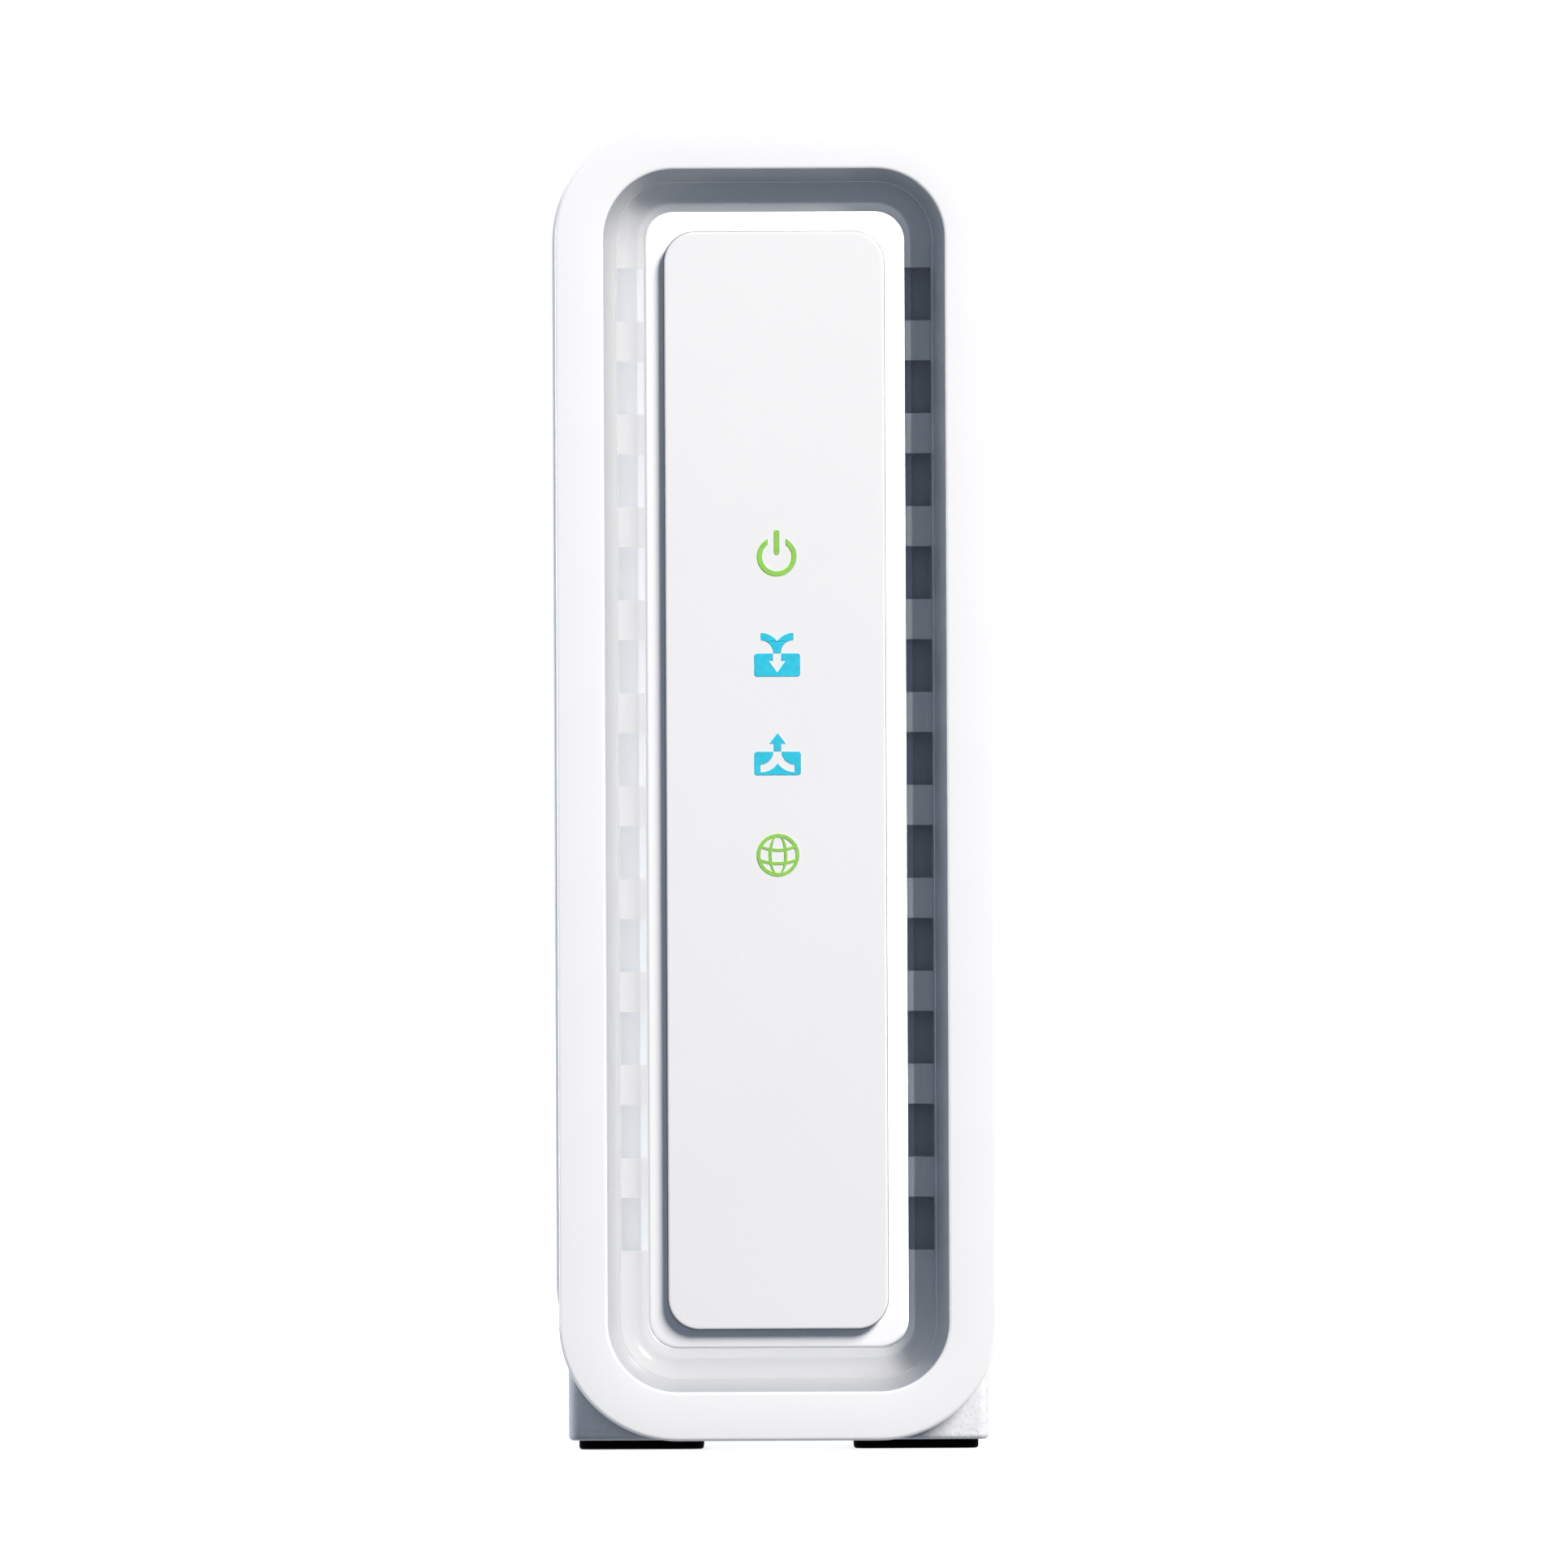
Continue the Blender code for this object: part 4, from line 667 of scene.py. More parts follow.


# The green and cyan are a painted glow of the lit LEDs, used as the base colour of the icons and of the light
# guides and LEDs behind them
GREEN = (0.27, 0.60, 0.085)
CYAN = (0.025, 0.54, 0.73)
LOOKS = {
    "gloss_white": (moulded, (0.865, 0.87, 0.88), 0.20, 3000, 0.000002, 0.006, 0.25, 0.04),
    "satin_white": (moulded, (0.80, 0.805, 0.815), 0.42, 3600, 0.000008, 0.008),
    "shell_white": (moulded, (0.82, 0.825, 0.835), 0.36, 2400, 0.000008, 0.012),
    "base_white": (spark_plastic, (0.765, 0.775, 0.80), 0.55),
    "rear_white": (moulded, (0.76, 0.765, 0.775), 0.48, 1800, 0.00002, 0.015),
    "rubber": (rubber, (0.002, 0.002, 0.0023), 0.75),
    "green_light": (lit_icon_window, GREEN, 0.35),
    "cyan_light": (lit_icon_window, CYAN, 0.35),
    "board_green": (board, (0.012, 0.105, 0.045), 0.38),
    "chip_black": (chip, (0.018, 0.018, 0.020), 0.50),
    "thermal_pad": (rubber, (0.26, 0.36, 0.50), 0.75),
    "aluminium": (metal, (0.72, 0.73, 0.75), 0.36, (1, 1, 0.04), 0.000006),
    "tinned_steel": (metal, (0.66, 0.66, 0.67), 0.27, (1, 0.05, 1)),
    "nickel": (metal, (0.70, 0.68, 0.64), 0.22, (1, 1, 1)),
    "gold": (metal, (0.83, 0.60, 0.22), 0.24, (1, 0.05, 1)),
    "black_plastic": (chip, (0.016, 0.016, 0.018), 0.42),
    "white_insulator": (moulded, (0.76, 0.75, 0.71), 0.40, 3000, 0.000006, 0.03),
    "screw_steel": (metal, (0.50, 0.51, 0.53), 0.30, (1, 1, 0.2)),
}
looks = {name: make(name, *values) for name, (make, *values) in LOOKS.items()}


# Front


def bezel_section():
    """The ring's section: x from its inner edge outwards, y forward from the middle of its face."""
    back = RING_WIDTH - BEZEL_THICKNESS
    outer = (RING_WIDTH - OUTER_EDGE, -CROWN - OUTER_EDGE)
    inner = (INNER_EDGE, -CROWN - INNER_EDGE)
    points = arc(outer, (OUTER_EDGE, OUTER_EDGE), 0, 90, EDGE_STEPS)
    half = (RING_WIDTH - OUTER_EDGE - INNER_EDGE) / 2
    for step in range(1, EDGE_STEPS):
        share = 1 - 2 * step / EDGE_STEPS
        points.append((INNER_EDGE + half * (1 + share), -CROWN * share * share))
    points += arc(inner, (INNER_EDGE, INNER_EDGE), 90, 180, EDGE_STEPS)
    corners = [
        (0, inner[1], 0),
        (-WALL_LEAN, -WALL_DEPTH, WALL_EDGE),
        (WALL_THICKNESS - WALL_LEAN, -WALL_DEPTH, WALL_EDGE),
        (WALL_THICKNESS, -BEZEL_THICKNESS, WALL_EDGE),
        (back, -BEZEL_THICKNESS, WALL_EDGE),
        (back, -BEZEL_DEPTH, WALL_EDGE),
        (RING_WIDTH, -BEZEL_DEPTH, WALL_EDGE),
        (RING_WIDTH, outer[1], 0),
    ]
    return points + filleted(corners)[1:-1]


def snap_boxes():
    """Snap tabs inside the bezel's outer wall, which reach into the shells."""
    thickness, length, width = SNAP_SIZE
    inside_wall = SHELL_WALL + GAP + thickness / 2
    x = SHELL_WIDTH / 2 - inside_wall
    z = SHELL_HIGH.z - inside_wall
    y = FRONT_Y + BEZEL_THICKNESS - 2 * GAP + length / 2
    for side in (-1, 1):
        for height in SNAP_HEIGHTS:
            yield (thickness, length, width), (side * x, y, height)
    yield (width, length, thickness), (0, y, z)


def inner_wall():
    """A block round the bezel's leaning wall, from just behind its rounded edge."""
    width, height, radius = OPENING
    size = rounded_box(width + 2 * WALL_THICKNESS, height + 2 * WALL_THICKNESS, radius + WALL_THICKNESS)
    return placed(prism("inner_wall", [size], -DEEP, -CROWN - INNER_EDGE), **FRONT)


def make_bezel():
    ring = placed(swept("bezel_ring", box_stations(*OPENING), bezel_section()), **FRONT)
    ring = joined(ring, boxes("snaps", snap_boxes()))
    wall = ring.copy()
    wall.name = "bezel_wall"
    piece("bezel_ring", cut_by(ring, inner_wall()), "gloss_white", ["front_bezel"])
    piece("bezel_wall", combined(wall, inner_wall(), "INTERSECT"), "gloss_white", ["front_bezel"])


def channel_section():
    """The cove and the flange behind the bezel's wall, in the bezel's coordinates."""
    centre = (-WALL_LEAN - COVE_WIDTH, CHANNEL_TOP)
    front = (COVE_WIDTH, FLOOR_DEPTH + CHANNEL_TOP)
    back = (COVE_WIDTH + FLOOR_THICKNESS, front[1] + FLOOR_THICKNESS)
    inner_end = ISLAND[0] / 2 - OPENING[0] / 2 - ISLAND_OVERLAP
    points = [(FLANGE, CHANNEL_TOP)]
    points += arc(centre, front, 0, -90, COVE_STEPS[0])
    points += [(inner_end, -FLOOR_DEPTH), (inner_end, ISLAND_BACK)]
    points += arc(centre, back, -90, COVE_BACK_END, COVE_STEPS[1])
    points.append((FLANGE, CHANNEL_TOP - FLOOR_THICKNESS))
    return points


def vent_boxes():
    """One cutter for each vent, from the bezel's wall to the island's side."""
    x = ISLAND[0] / 2 + VENT_WIDTH / 2
    first = VENT_MIDDLE_Z - FRONT_Z - VENT_PITCH * (VENT_COUNT - 1) / 2
    for side in (-1, 1):
        for row in range(VENT_COUNT):
            centre = (side * x, first + row * VENT_PITCH, CHANNEL_TOP - DEEP / 2 + GAP)
            yield (VENT_WIDTH, VENT_HEIGHT, DEEP), centre


def baffle_boxes():
    length = VENT_PITCH * (VENT_COUNT - 1) + VENT_HEIGHT + 2 * BAFFLE_MARGIN
    for side in (-1, 1):
        for (low_x, high_x), (back, front) in (BAFFLE_LEDGE, BAFFLE_PLATE):
            centre = (side * (low_x + high_x) / 2, VENT_MIDDLE_Z - FRONT_Z, (back + front) / 2)
            yield (high_x - low_x, length, front - back), centre


def light_centres():
    heights = [middle(name + "_light_guide").z for name in ICONS]
    return [(0, height - FRONT_Z) for height in heights]


def island_mesh():
    """The raised part of the vent frame, in which the face plate sits."""
    profile = plate_profile(ISLAND_FRONT, ISLAND_BACK, ISLAND_EDGE)
    island = lidded("island", box_stations(*ISLAND), profile)
    width, height, radius = PLATE
    seat = rounded_box(width + 2 * SEAT_GAP, height + 2 * SEAT_GAP, radius + SEAT_GAP)
    seat = prism("seat", [seat], SEAT_FLOOR, DEEP)
    inset = 2 * FLOOR_THICKNESS
    hollow = rounded_box(ISLAND[0] - inset, ISLAND[1] - inset, ISLAND[2] / 2)
    hollow = prism("hollow", [hollow], -DEEP, SEAT_FLOOR - SEAT_THICKNESS)
    return cut_by(island, seat, hollow, rods("guide_holes", GUIDE_HOLE, -DEEP, DEEP, light_centres()))


def above(low):
    """A block that holds whatever lies further forward than low."""
    return boxes("above", [((DEEP * 4, DEEP * 8, DEEP), (0, 0, low + DEEP / 2))])


def make_frame():
    """The cove round the island, its vents with the baffles behind, and the rim round the plate."""
    channel = swept("vent_channel", box_stations(*OPENING), channel_section())
    width, height, radius = ISLAND
    core = rounded_box(width + 2 * HAIRLINE, height + 2 * HAIRLINE, radius + HAIRLINE)
    core = prism("core", [core], -DEEP, DEEP)
    rim = ISLAND_FRONT - RIM_DEPTH
    meshes = {
        "vent_channel": cut_by(channel, boxes("vents", vent_boxes()), core),
        "vent_baffles": boxes("baffles", baffle_boxes()),
        "island_wall": cut_by(island_mesh(), above(rim - HAIRLINE)),
        "plate_surround": combined(island_mesh(), above(rim), "INTERSECT"),
    }
    for name, mesh in meshes.items():
        piece(name, placed(mesh, **FRONT), "gloss_white", ["vent_frame"])


def make_plate():
    profile = plate_profile(PLATE_FRONT, PLATE_BACK, PLATE_EDGE, PLATE_STEPS)
    plate = lidded("front_plate", box_stations(*PLATE), profile)
    pockets = rods("pockets", GUIDE_HOLE, -DEEP, PLATE_FRONT - PLATE_WEB, light_centres())
    piece("front_plate", placed(cut_by(plate, pockets), **FRONT), "satin_white", ["face_plate"])


# Icons, drawn in millimetres about their own centres


def mirrored(points):
    return [(-x, y) for x, y in points[::-1]]


def power_icon():
    """An open ring round a bar."""
    outer = 1.97
    inner = 1.49
    half_gap = 0.91
    outer_end = math.degrees(math.asin(half_gap / outer))
    inner_end = math.degrees(math.asin(half_gap / inner))
    ring = arc((0, -0.15), (outer, outer), 90 + outer_end, 450 - outer_end, 60)
    ring += arc((0, -0.15), (inner, inner), 450 - inner_end, 90 + inner_end, 60)
    bar = filleted([(0.26, 0.02, 0.25), (0.26, 2.48, 0.16), (-0.26, 2.48, 0.16), (-0.26, 0.02, 0.25)])
    return [[ring], [bar]]


def receive_icon():
    """A forked stream above a box, with an arrow cut down into the box."""
    lower = arc((1.62, 0.20), (1.25, 1.29), 180, 90, 14)
    upper = arc((1.62, 0.20), (1.99, 2.01), 90, 144.5, 14)
    right = lower + upper
    stream = right + mirrored(right)
    arrow = [(0.43, 0.15), (0.43, -0.55), (0.87, -0.55), (0, -1.75)]
    arrow += mirrored(arrow[:-1])
    box = [(x, y, 0) for x, y in arrow]
    box += [(-2.28, 0.15, 0.25), (-2.28, -2.15, 0.25), (2.28, -2.15, 0.25), (2.28, 0.15, 0.25)]
    return [[stream], [filleted(box)]]


def send_icon():
    """An arrow above a box, with two joining streams cut into the box."""
    arrow = [(0.36, 0.40), (0.36, 1.15), (0.81, 1.15), (0, 2.19)]
    arrow += mirrored(arrow[:-1])
    upper = arc((1.72, 0.34), (1.29, 1.27), 180, 270, 14)
    lower = arc((1.72, 0.34), (2.09, 2.06), 270, 214.6, 14)
    right = upper + lower
    sides = [(-2.31, 0.34, 0.25), (-2.31, -2.0, 0.25), (2.31, -2.0, 0.25), (2.31, 0.34, 0.25)]
    box = right + mirrored(right) + filleted(sides)
    return [[arrow], [box]]


def online_icon():
    """A globe: its rim, two meridians and two parallels that sag as seen from above."""
    rim = [circle(2.12), circle(1.78)[::-1]]
    meridians = [arc((0, 0), (0.92, 1.95), 0, 355, 71), arc((0, 0), (0.63, 1.95), 0, 355, 71)[::-1]]
    upper = arc((0, 3.2), (3.4, 2.56), 238, 302, 20) + arc((0, 3.2), (3.4, 2.84), 302, 238, 20)
    lower = arc((0, 2.6), (4.2, 3.29), 242, 298, 20) + arc((0, 2.6), (4.2, 3.57), 298, 242, 20)
    return [rim, meridians, [upper], [lower]]


ICONS = {
    "power": (power_icon, "green_light"),
    "receive": (receive_icon, "cyan_light"),
    "send": (send_icon, "cyan_light"),
    "online": (online_icon, "green_light"),
}


def make_icon(name, draw, slot):
    """Raise the icon a little from the plate's face, in front of its light guide."""
    made = None
    for shape in draw():
        outlines = [[(x * MILLIMETRE, y * MILLIMETRE) for x, y in line] for line in shape]
        part = prism("icon_" + name, outlines, ICON_FOOT, ICON_RISE)
        made = part if made is None else joined(made, part)
    at = (ICON_X, FRONT_Y - PLATE_FRONT, middle(name + "_light_guide").z)
    piece("icon_" + name, placed(made, at, TO_FRONT), slot, edge=ICON_EDGE)


# Housing


def shell_section():
    """A shell's wall, from its front edge to the rear lip: x outwards, y towards the front."""
    front = -SHELL_LOW.y
    back = -SHELL_HIGH.y
    lip = -SHELL_WALL - LIP_WIDTH
    slot_back = back + LIP_DEPTH
    slot_front = slot_back + PANEL_THICKNESS + 2 * GAP
    ledge = slot_front + LIP_DEPTH
    corners = [
        (0, front, FRONT_EDGE_RADIUS),
        (-SHELL_WALL, front, INSIDE_EDGE_RADIUS),
        (-SHELL_WALL, ledge, 0),
        (lip, ledge, 0),
        (lip, slot_front, 0),
        (-SHELL_WALL, slot_front, 0),
        (-SHELL_WALL, slot_back, 0),
        (lip, slot_back, INSIDE_EDGE_RADIUS),
        (lip, back, FRONT_EDGE_RADIUS),
        (0, back, REAR_EDGE_RADIUS),
    ]
    return filleted(corners, EDGE_STEPS)


def lap_boxes(low_x, high_x, inside, outside, spare):
    """A box along the seam at the top and one at the bottom, by their reach into the wall."""
    size = (high_x - low_x, LAP_Y[1] - LAP_Y[0] + 2 * spare, outside - inside)
    x = (high_x + low_x) / 2
    y = sum(LAP_Y) / 2
    rise = (inside + outside) / 2
    yield size, (x, y, SHELL_HIGH.z - SHELL_WALL + rise)
    yield size, (x, y, SHELL_LOW.z + SHELL_WALL - rise)


def screw_spots(side):
    """(x, y) of the base screws on one side."""
    return [middle(name).xy for name in BASE_SCREWS if middle(name).x * side > 0]


def make_shell(name, node, side):
    """One half of the housing, with its screw bosses and, on the left, the board's posts."""
    path = half_stations(SHELL_WIDTH, SHELL_HEIGHT, SHELL_RADIUS, SEAM / 2)
    mesh = swept(name, path, shell_section(), loop=False)
    if side < 0:
        mesh.transform(Matrix.Rotation(math.pi, 4, "Z"))
    mesh = placed(mesh, (0, 0, SHELL_Z), TO_FRONT)
    spots = screw_spots(side)
    floor = SHELL_LOW.z + SHELL_WALL * 3 / 4
    mesh = joined(mesh, rods("bosses", BOSS_RADIUS, floor, BOSS_TOP, spots))
    if side < 0:
        centres = [middle(screw).yz for screw in BOARD_SCREWS]
        wall = -SHELL_WIDTH / 2 + SHELL_WALL / 2
        posts = rods("posts", BOSS_RADIUS, wall, POST_END_X, centres)
        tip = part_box(BOARD_SCREWS[0])[0].x - GAP
        pilots = rods("post_pilots", SCREW_HOLE, tip, DEEP, centres)
        mesh = cut_by(joined(mesh, placed(posts, turn=TO_RIGHT)), placed(pilots, turn=TO_RIGHT))
        mesh = joined(mesh, boxes("tongues", lap_boxes(-TONGUE_ROOT, TONGUE_REACH, *TONGUE_Z, 0)))
    else:
        rebates = lap_boxes(-GAP, TONGUE_REACH + GAP, -REBATE_CUT, TONGUE_Z[1] + GAP, GAP)
        mesh = cut_by(mesh, boxes("rebates", rebates))
    mesh = cut_by(mesh, rods("pilots", SCREW_HOLE, -DEEP, PILOT_TOP, spots))
    piece(name, mesh, "shell_white", [node])


def make_base():
    """A plinth whose top is scooped out to the housing's rounded underside."""
    size = BASE_HIGH - BASE_LOW
    stations = box_stations(size.x, size.y, 2 * BASE_EDGE)
    profile = foot_profile(BASE_LOW.z, BASE_EDGE)
    profile += arc((-BASE_EDGE, BASE_HIGH.z - BASE_EDGE), (BASE_EDGE, BASE_EDGE), 0, 90, FILLET_STEPS)
    profile.append((-2 * BASE_EDGE, BASE_HIGH.z))
    centre = middle("base")
    mesh = placed(lidded("plinth", stations, profile), (centre.x, centre.y, 0))
    scoop = rounded_box(SHELL_WIDTH + 2 * GAP, SHELL_HEIGHT + 2 * GAP, SHELL_RADIUS + GAP)
    scoop = placed(prism("scoop", [scoop], -1, 1), (0, 0, SHELL_Z), TO_FRONT)
    recess_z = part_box("base_screw_1")[0].z
    recesses = []
    for foot in FEET:
        low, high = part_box(foot)
        size = (high.x - low.x + 2 * GAP, high.y - low.y + 2 * GAP, 2 * recess_z)
        recesses.append((size, (*middle(foot).xy, 0)))
    spots = screw_spots(-1) + screw_spots(1)
    heads = rods("heads", HEAD_HOLE, -DEEP, HEAD_ROOM, spots)
    shanks = rods("shanks", SCREW_HOLE, -DEEP, DEEP, spots)
    mesh = cut_by(mesh, scoop, boxes("recesses", recesses), heads, shanks)
    piece("plinth", mesh, "base_white", ["base"])


def make_feet():
    for foot in FEET:
        low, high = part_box(foot)
        size = high - low
        stations = box_stations(size.x, size.y, FOOT_RADIUS)
        profile = [*foot_profile(0, FOOT_EDGE), (0, size.z)]
        mesh = lidded("rubber_" + foot, stations, profile)
        spot = (low + high) / 2
        piece("rubber_" + foot, placed(mesh, (spot.x, spot.y, low.z)), "rubber", [foot])


# Rear


def opening_of(node, spare):
    """(width, height) of a connector's hole in the rear panel, and its middle in the panel."""
    low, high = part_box(node)
    size = (high.x - low.x + 2 * spare, high.z - low.z + 2 * spare)
    return size, ((low.x + high.x) / 2, (low.z + high.z) / 2 - SHELL_Z)


def make_rear_panel():
    width = SHELL_WIDTH - 2 * PANEL_INSET
    height = SHELL_HEIGHT - 2 * PANEL_INSET
    outlines = [rounded_box(width, height, SHELL_RADIUS - PANEL_INSET)]
    for node in ("power_jack", "ethernet_shield"):
        size, centre = opening_of(node, GAP)
        outlines.append(rounded_box(*size, GAP, centre, FILLET_STEPS))
    outlines.append(circle(COAX_HOLE_RADIUS, (0, COAX_Z - SHELL_Z)))
    reset = middle("reset_button")
    outlines.append(circle(RESET_HOLE_RADIUS, (reset.x, reset.z - SHELL_Z), ROUND_STEPS // 2))
    for row in range(REAR_VENT_COUNT):
        rise = (row - (REAR_VENT_COUNT - 1) / 2) * REAR_VENT_PITCH
        centre = (0, REAR_VENT_MIDDLE_Z + rise - SHELL_Z)
        outlines.append(rounded_box(*REAR_VENT_SIZE, centre, REAR_VENT_STEPS))
    mesh = prism("back_plate", outlines, -PANEL_OUTSIDE_Y, -PANEL_INSIDE_Y)
    mesh = placed(mesh, (0, 0, SHELL_Z), TO_FRONT)
    piece("back_plate", mesh, "rear_white", ["rear_panel"], edge=PANEL_EDGE)


def thread_mesh(name, start, end):
    """A barrel with a true helical thread, from its neck to its chamfered end."""
    bm = bmesh.new()
    step = THREAD_PITCH / THREAD_ROWS
    count = round((end - start) / step)
    rows = []
    for row in range(count + 1):
        z = start + (end - start) * row / count
        taper = min(1.0, row / THREAD_ROWS, (count - row) / THREAD_ROWS)
        ring = []
        for side in range(ROUND_STEPS):
            turn = side / ROUND_STEPS
            wave = 1 - abs(2 * ((z / THREAD_PITCH - turn) % 1) - 1)
            crest = min(1.0, THREAD_FLAT * wave)
            radius = COAX_ROOT + (COAX_RADIUS - COAX_ROOT) * crest * taper
            angle = 2 * math.pi * turn
            ring.append(bm.verts.new((radius * math.cos(angle), radius * math.sin(angle), z)))
        rows.append(ring)
    for first, second in zip(rows, rows[1:]):
        join_rows(bm, first, second, True)
    bm.faces.new(rows[0][::-1])
    bm.faces.new(rows[-1])
    return finished(bm, name)


def make_coax():
    """The threaded barrel, its neck and the block behind the panel, with the bore in its end."""
    low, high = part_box("coax_connector")
    edge = COAX_BLOCK_EDGE
    end = PANEL_INSIDE_Y - GAP
    stations = box_stations(high.x - low.x, high.z - low.z, edge)
    profile = [(-edge, low.y), (0, low.y + edge), (0, end - edge), (-edge, end)]
    centre = ((low.x + high.x) / 2, 0, COAX_Z)
    block = placed(lidded("coax_barrel", stations, profile), centre, TO_BACK)
    start = end - 3 * GAP
    end = THREAD_START_Y + GAP
    neck = [(0, start), (COAX_NECK_RADIUS, start), (COAX_NECK_RADIUS, end), (0, end)]
    thread = placed(thread_mesh("thread", THREAD_START_Y, COAX_END_Y), COAX_AXIS, TO_BACK)
    made = joined(block, turned("neck", neck, COAX_AXIS), thread)
    floor = COAX_END_Y - COAX_BORE_DEPTH
    past = COAX_END_Y + GAP / 2
    bore = [(0, floor), (COAX_BORE_RADIUS, floor), (COAX_BORE_RADIUS, COAX_END_Y - COAX_CHAMFER)]
    bore += [(COAX_BORE_RADIUS + COAX_CHAMFER, past), (0, past)]
    made = cut_by(made, turned("bore", bore, COAX_AXIS))
    piece("coax_barrel", made, "nickel", ["coax_connector"])


def make_insulator():
    low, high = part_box("coax_insulator")
    radius = (high.x - low.x) / 2
    wider, depth = PIN_HOLE_MOUTH
    floor = high.y - PIN_HOLE_DEPTH
    corners = [
        (0, low.y, 0),
        (radius, low.y, 0),
        (radius, high.y, INSULATOR_EDGE),
        (PIN_HOLE_RADIUS + wider, high.y, 0),
        (PIN_HOLE_RADIUS, high.y - depth, 0),
        (PIN_HOLE_RADIUS, floor, 0),
        (0, floor, 0),
    ]
    mesh = turned("coax_dielectric", filleted(corners), COAX_AXIS)
    piece("coax_dielectric", mesh, "white_insulator", ["coax_insulator"])


def make_nut():
    """A hexagon whose corners are turned off to a cone on its outer face."""
    low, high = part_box("coax_nut")
    flats = high.z - low.z
    hexagon = circle(flats / math.sqrt(3), steps=6)
    nut = prism("coax_hex_nut", [hexagon, circle(COAX_HOLE_RADIUS)], low.y, high.y)
    outside, inside, rise = NUT_CONE
    rim = flats / 2
    start = low.y - GAP
    end = high.y + 2 * HAIRLINE
    cone = [(0, start), (rim + outside, start), (rim + outside, high.y - rise), (rim - inside, end), (0, end)]
    nut = combined(nut, swept("cone", axis_stations(), cone), "INTERSECT")
    piece("coax_hex_nut", placed(nut, COAX_AXIS, TO_BACK), "nickel", ["coax_nut"], edge=NUT_EDGE)


def make_washer():
    low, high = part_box("coax_washer")
    outer = (high.x - low.x) / 2
    corners = [
        (COAX_HOLE_RADIUS, low.y, WASHER_EDGE),
        (outer, low.y, WASHER_EDGE),
        (outer, high.y, WASHER_EDGE),
        (COAX_HOLE_RADIUS, high.y, WASHER_EDGE),
    ]
    mesh = turned("coax_flat_washer", filleted(corners), COAX_AXIS)
    piece("coax_flat_washer", mesh, "tinned_steel", ["coax_washer"])


def make_power_pin():
    low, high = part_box("power_jack_pin")
    radius = (high.x - low.x) / 2
    corners = [(0, low.y, 0), (radius, low.y, 0), (radius, high.y, radius * PIN_ROUNDING), (0, high.y, 0)]
    spot = middle("power_jack_pin")
    mesh = turned("power_centre_pin", filleted(corners, EDGE_STEPS), (spot.x, 0, spot.z), PIN_SIDES)
    piece("power_centre_pin", mesh, "nickel", ["power_jack_pin"])


def make_power_jack():
    low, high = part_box("power_jack")
    size = high - low
    stations = box_stations(size.x, size.z, JACK_CORNER)
    profile = plate_profile(high.y, low.y, JACK_EDGE)
    centre = ((low.x + high.x) / 2, 0, (low.z + high.z) / 2)
    made = placed(lidded("power_socket", stations, profile), centre, TO_BACK)
    wider, depth = POWER_BORE_MOUTH
    floor = high.y - POWER_BORE_DEPTH
    past = high.y + 5 * HAIRLINE
    bore = [(0, floor), (POWER_BORE_RADIUS, floor), (POWER_BORE_RADIUS, high.y - depth)]
    bore += [(POWER_BORE_RADIUS + wider, past), (0, past)]
    made = cut_by(made, turned("bore", bore, (0, 0, centre[2])))
    piece("power_socket", made, "black_plastic", ["power_jack"])


def make_reset_cap():
    """The button that the reset pin presses, on the moving body."""
    low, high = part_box("reset_button")
    collar = (high.x - low.x) / 2
    reach, thickness = RESET_COLLAR
    inner_edge, collar_edge, outer_edge = RESET_EDGES
    collar_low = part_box("reset_switch")[1].y + reach
    collar_high = collar_low + thickness
    corners = [
        (0, low.y, 0),
        (RESET_STEM, low.y, inner_edge),
        (RESET_STEM, collar_low, 0),
        (collar, collar_low, collar_edge),
        (collar, collar_high, collar_edge),
        (RESET_STEM, collar_high, 0),
        (RESET_STEM, high.y, outer_edge),
        (0, high.y, 0),
    ]
    spot = middle("reset_button")
    mesh = turned("reset_cap", filleted(corners), (spot.x, 0, spot.z), RESET_SIDES)
    piece("reset_cap", mesh, "black_plastic", ["reset_button"], body="reset_button")


# What lies inside keeps its CAD shape

INSIDE = {
    "green_light": ["power_light_guide", "online_light_guide", "power_led", "online_led"],
    "cyan_light": ["receive_light_guide", "send_light_guide", "receive_led", "send_led"],
    "black_plastic": ["light_guide_bracket", "reset_switch", "ethernet_jack"],
    "board_green": ["main_board"],
    "chip_black": [
        "modem_processor",
        "memory_chip_1",
        "memory_chip_2",
        "flash_chip",
        "tuner_chip",
        "ethernet_transformer",
        "inductor_1",
        "inductor_2",
    ],
    "thermal_pad": ["thermal_pad"],
    "aluminium": ["heat_sink", "capacitor_1", "capacitor_2", "capacitor_3"],
    "tinned_steel": ["tuner_shield_frame", "tuner_shield_lid", "crystal", "ethernet_shield"],
    "gold": ["ethernet_contacts"],
    "white_insulator": ["heat_sink_pin_1", "heat_sink_pin_2"],
    "screw_steel": BASE_SCREWS + BOARD_SCREWS,
}
INSIDE_EDGE = 0.00008


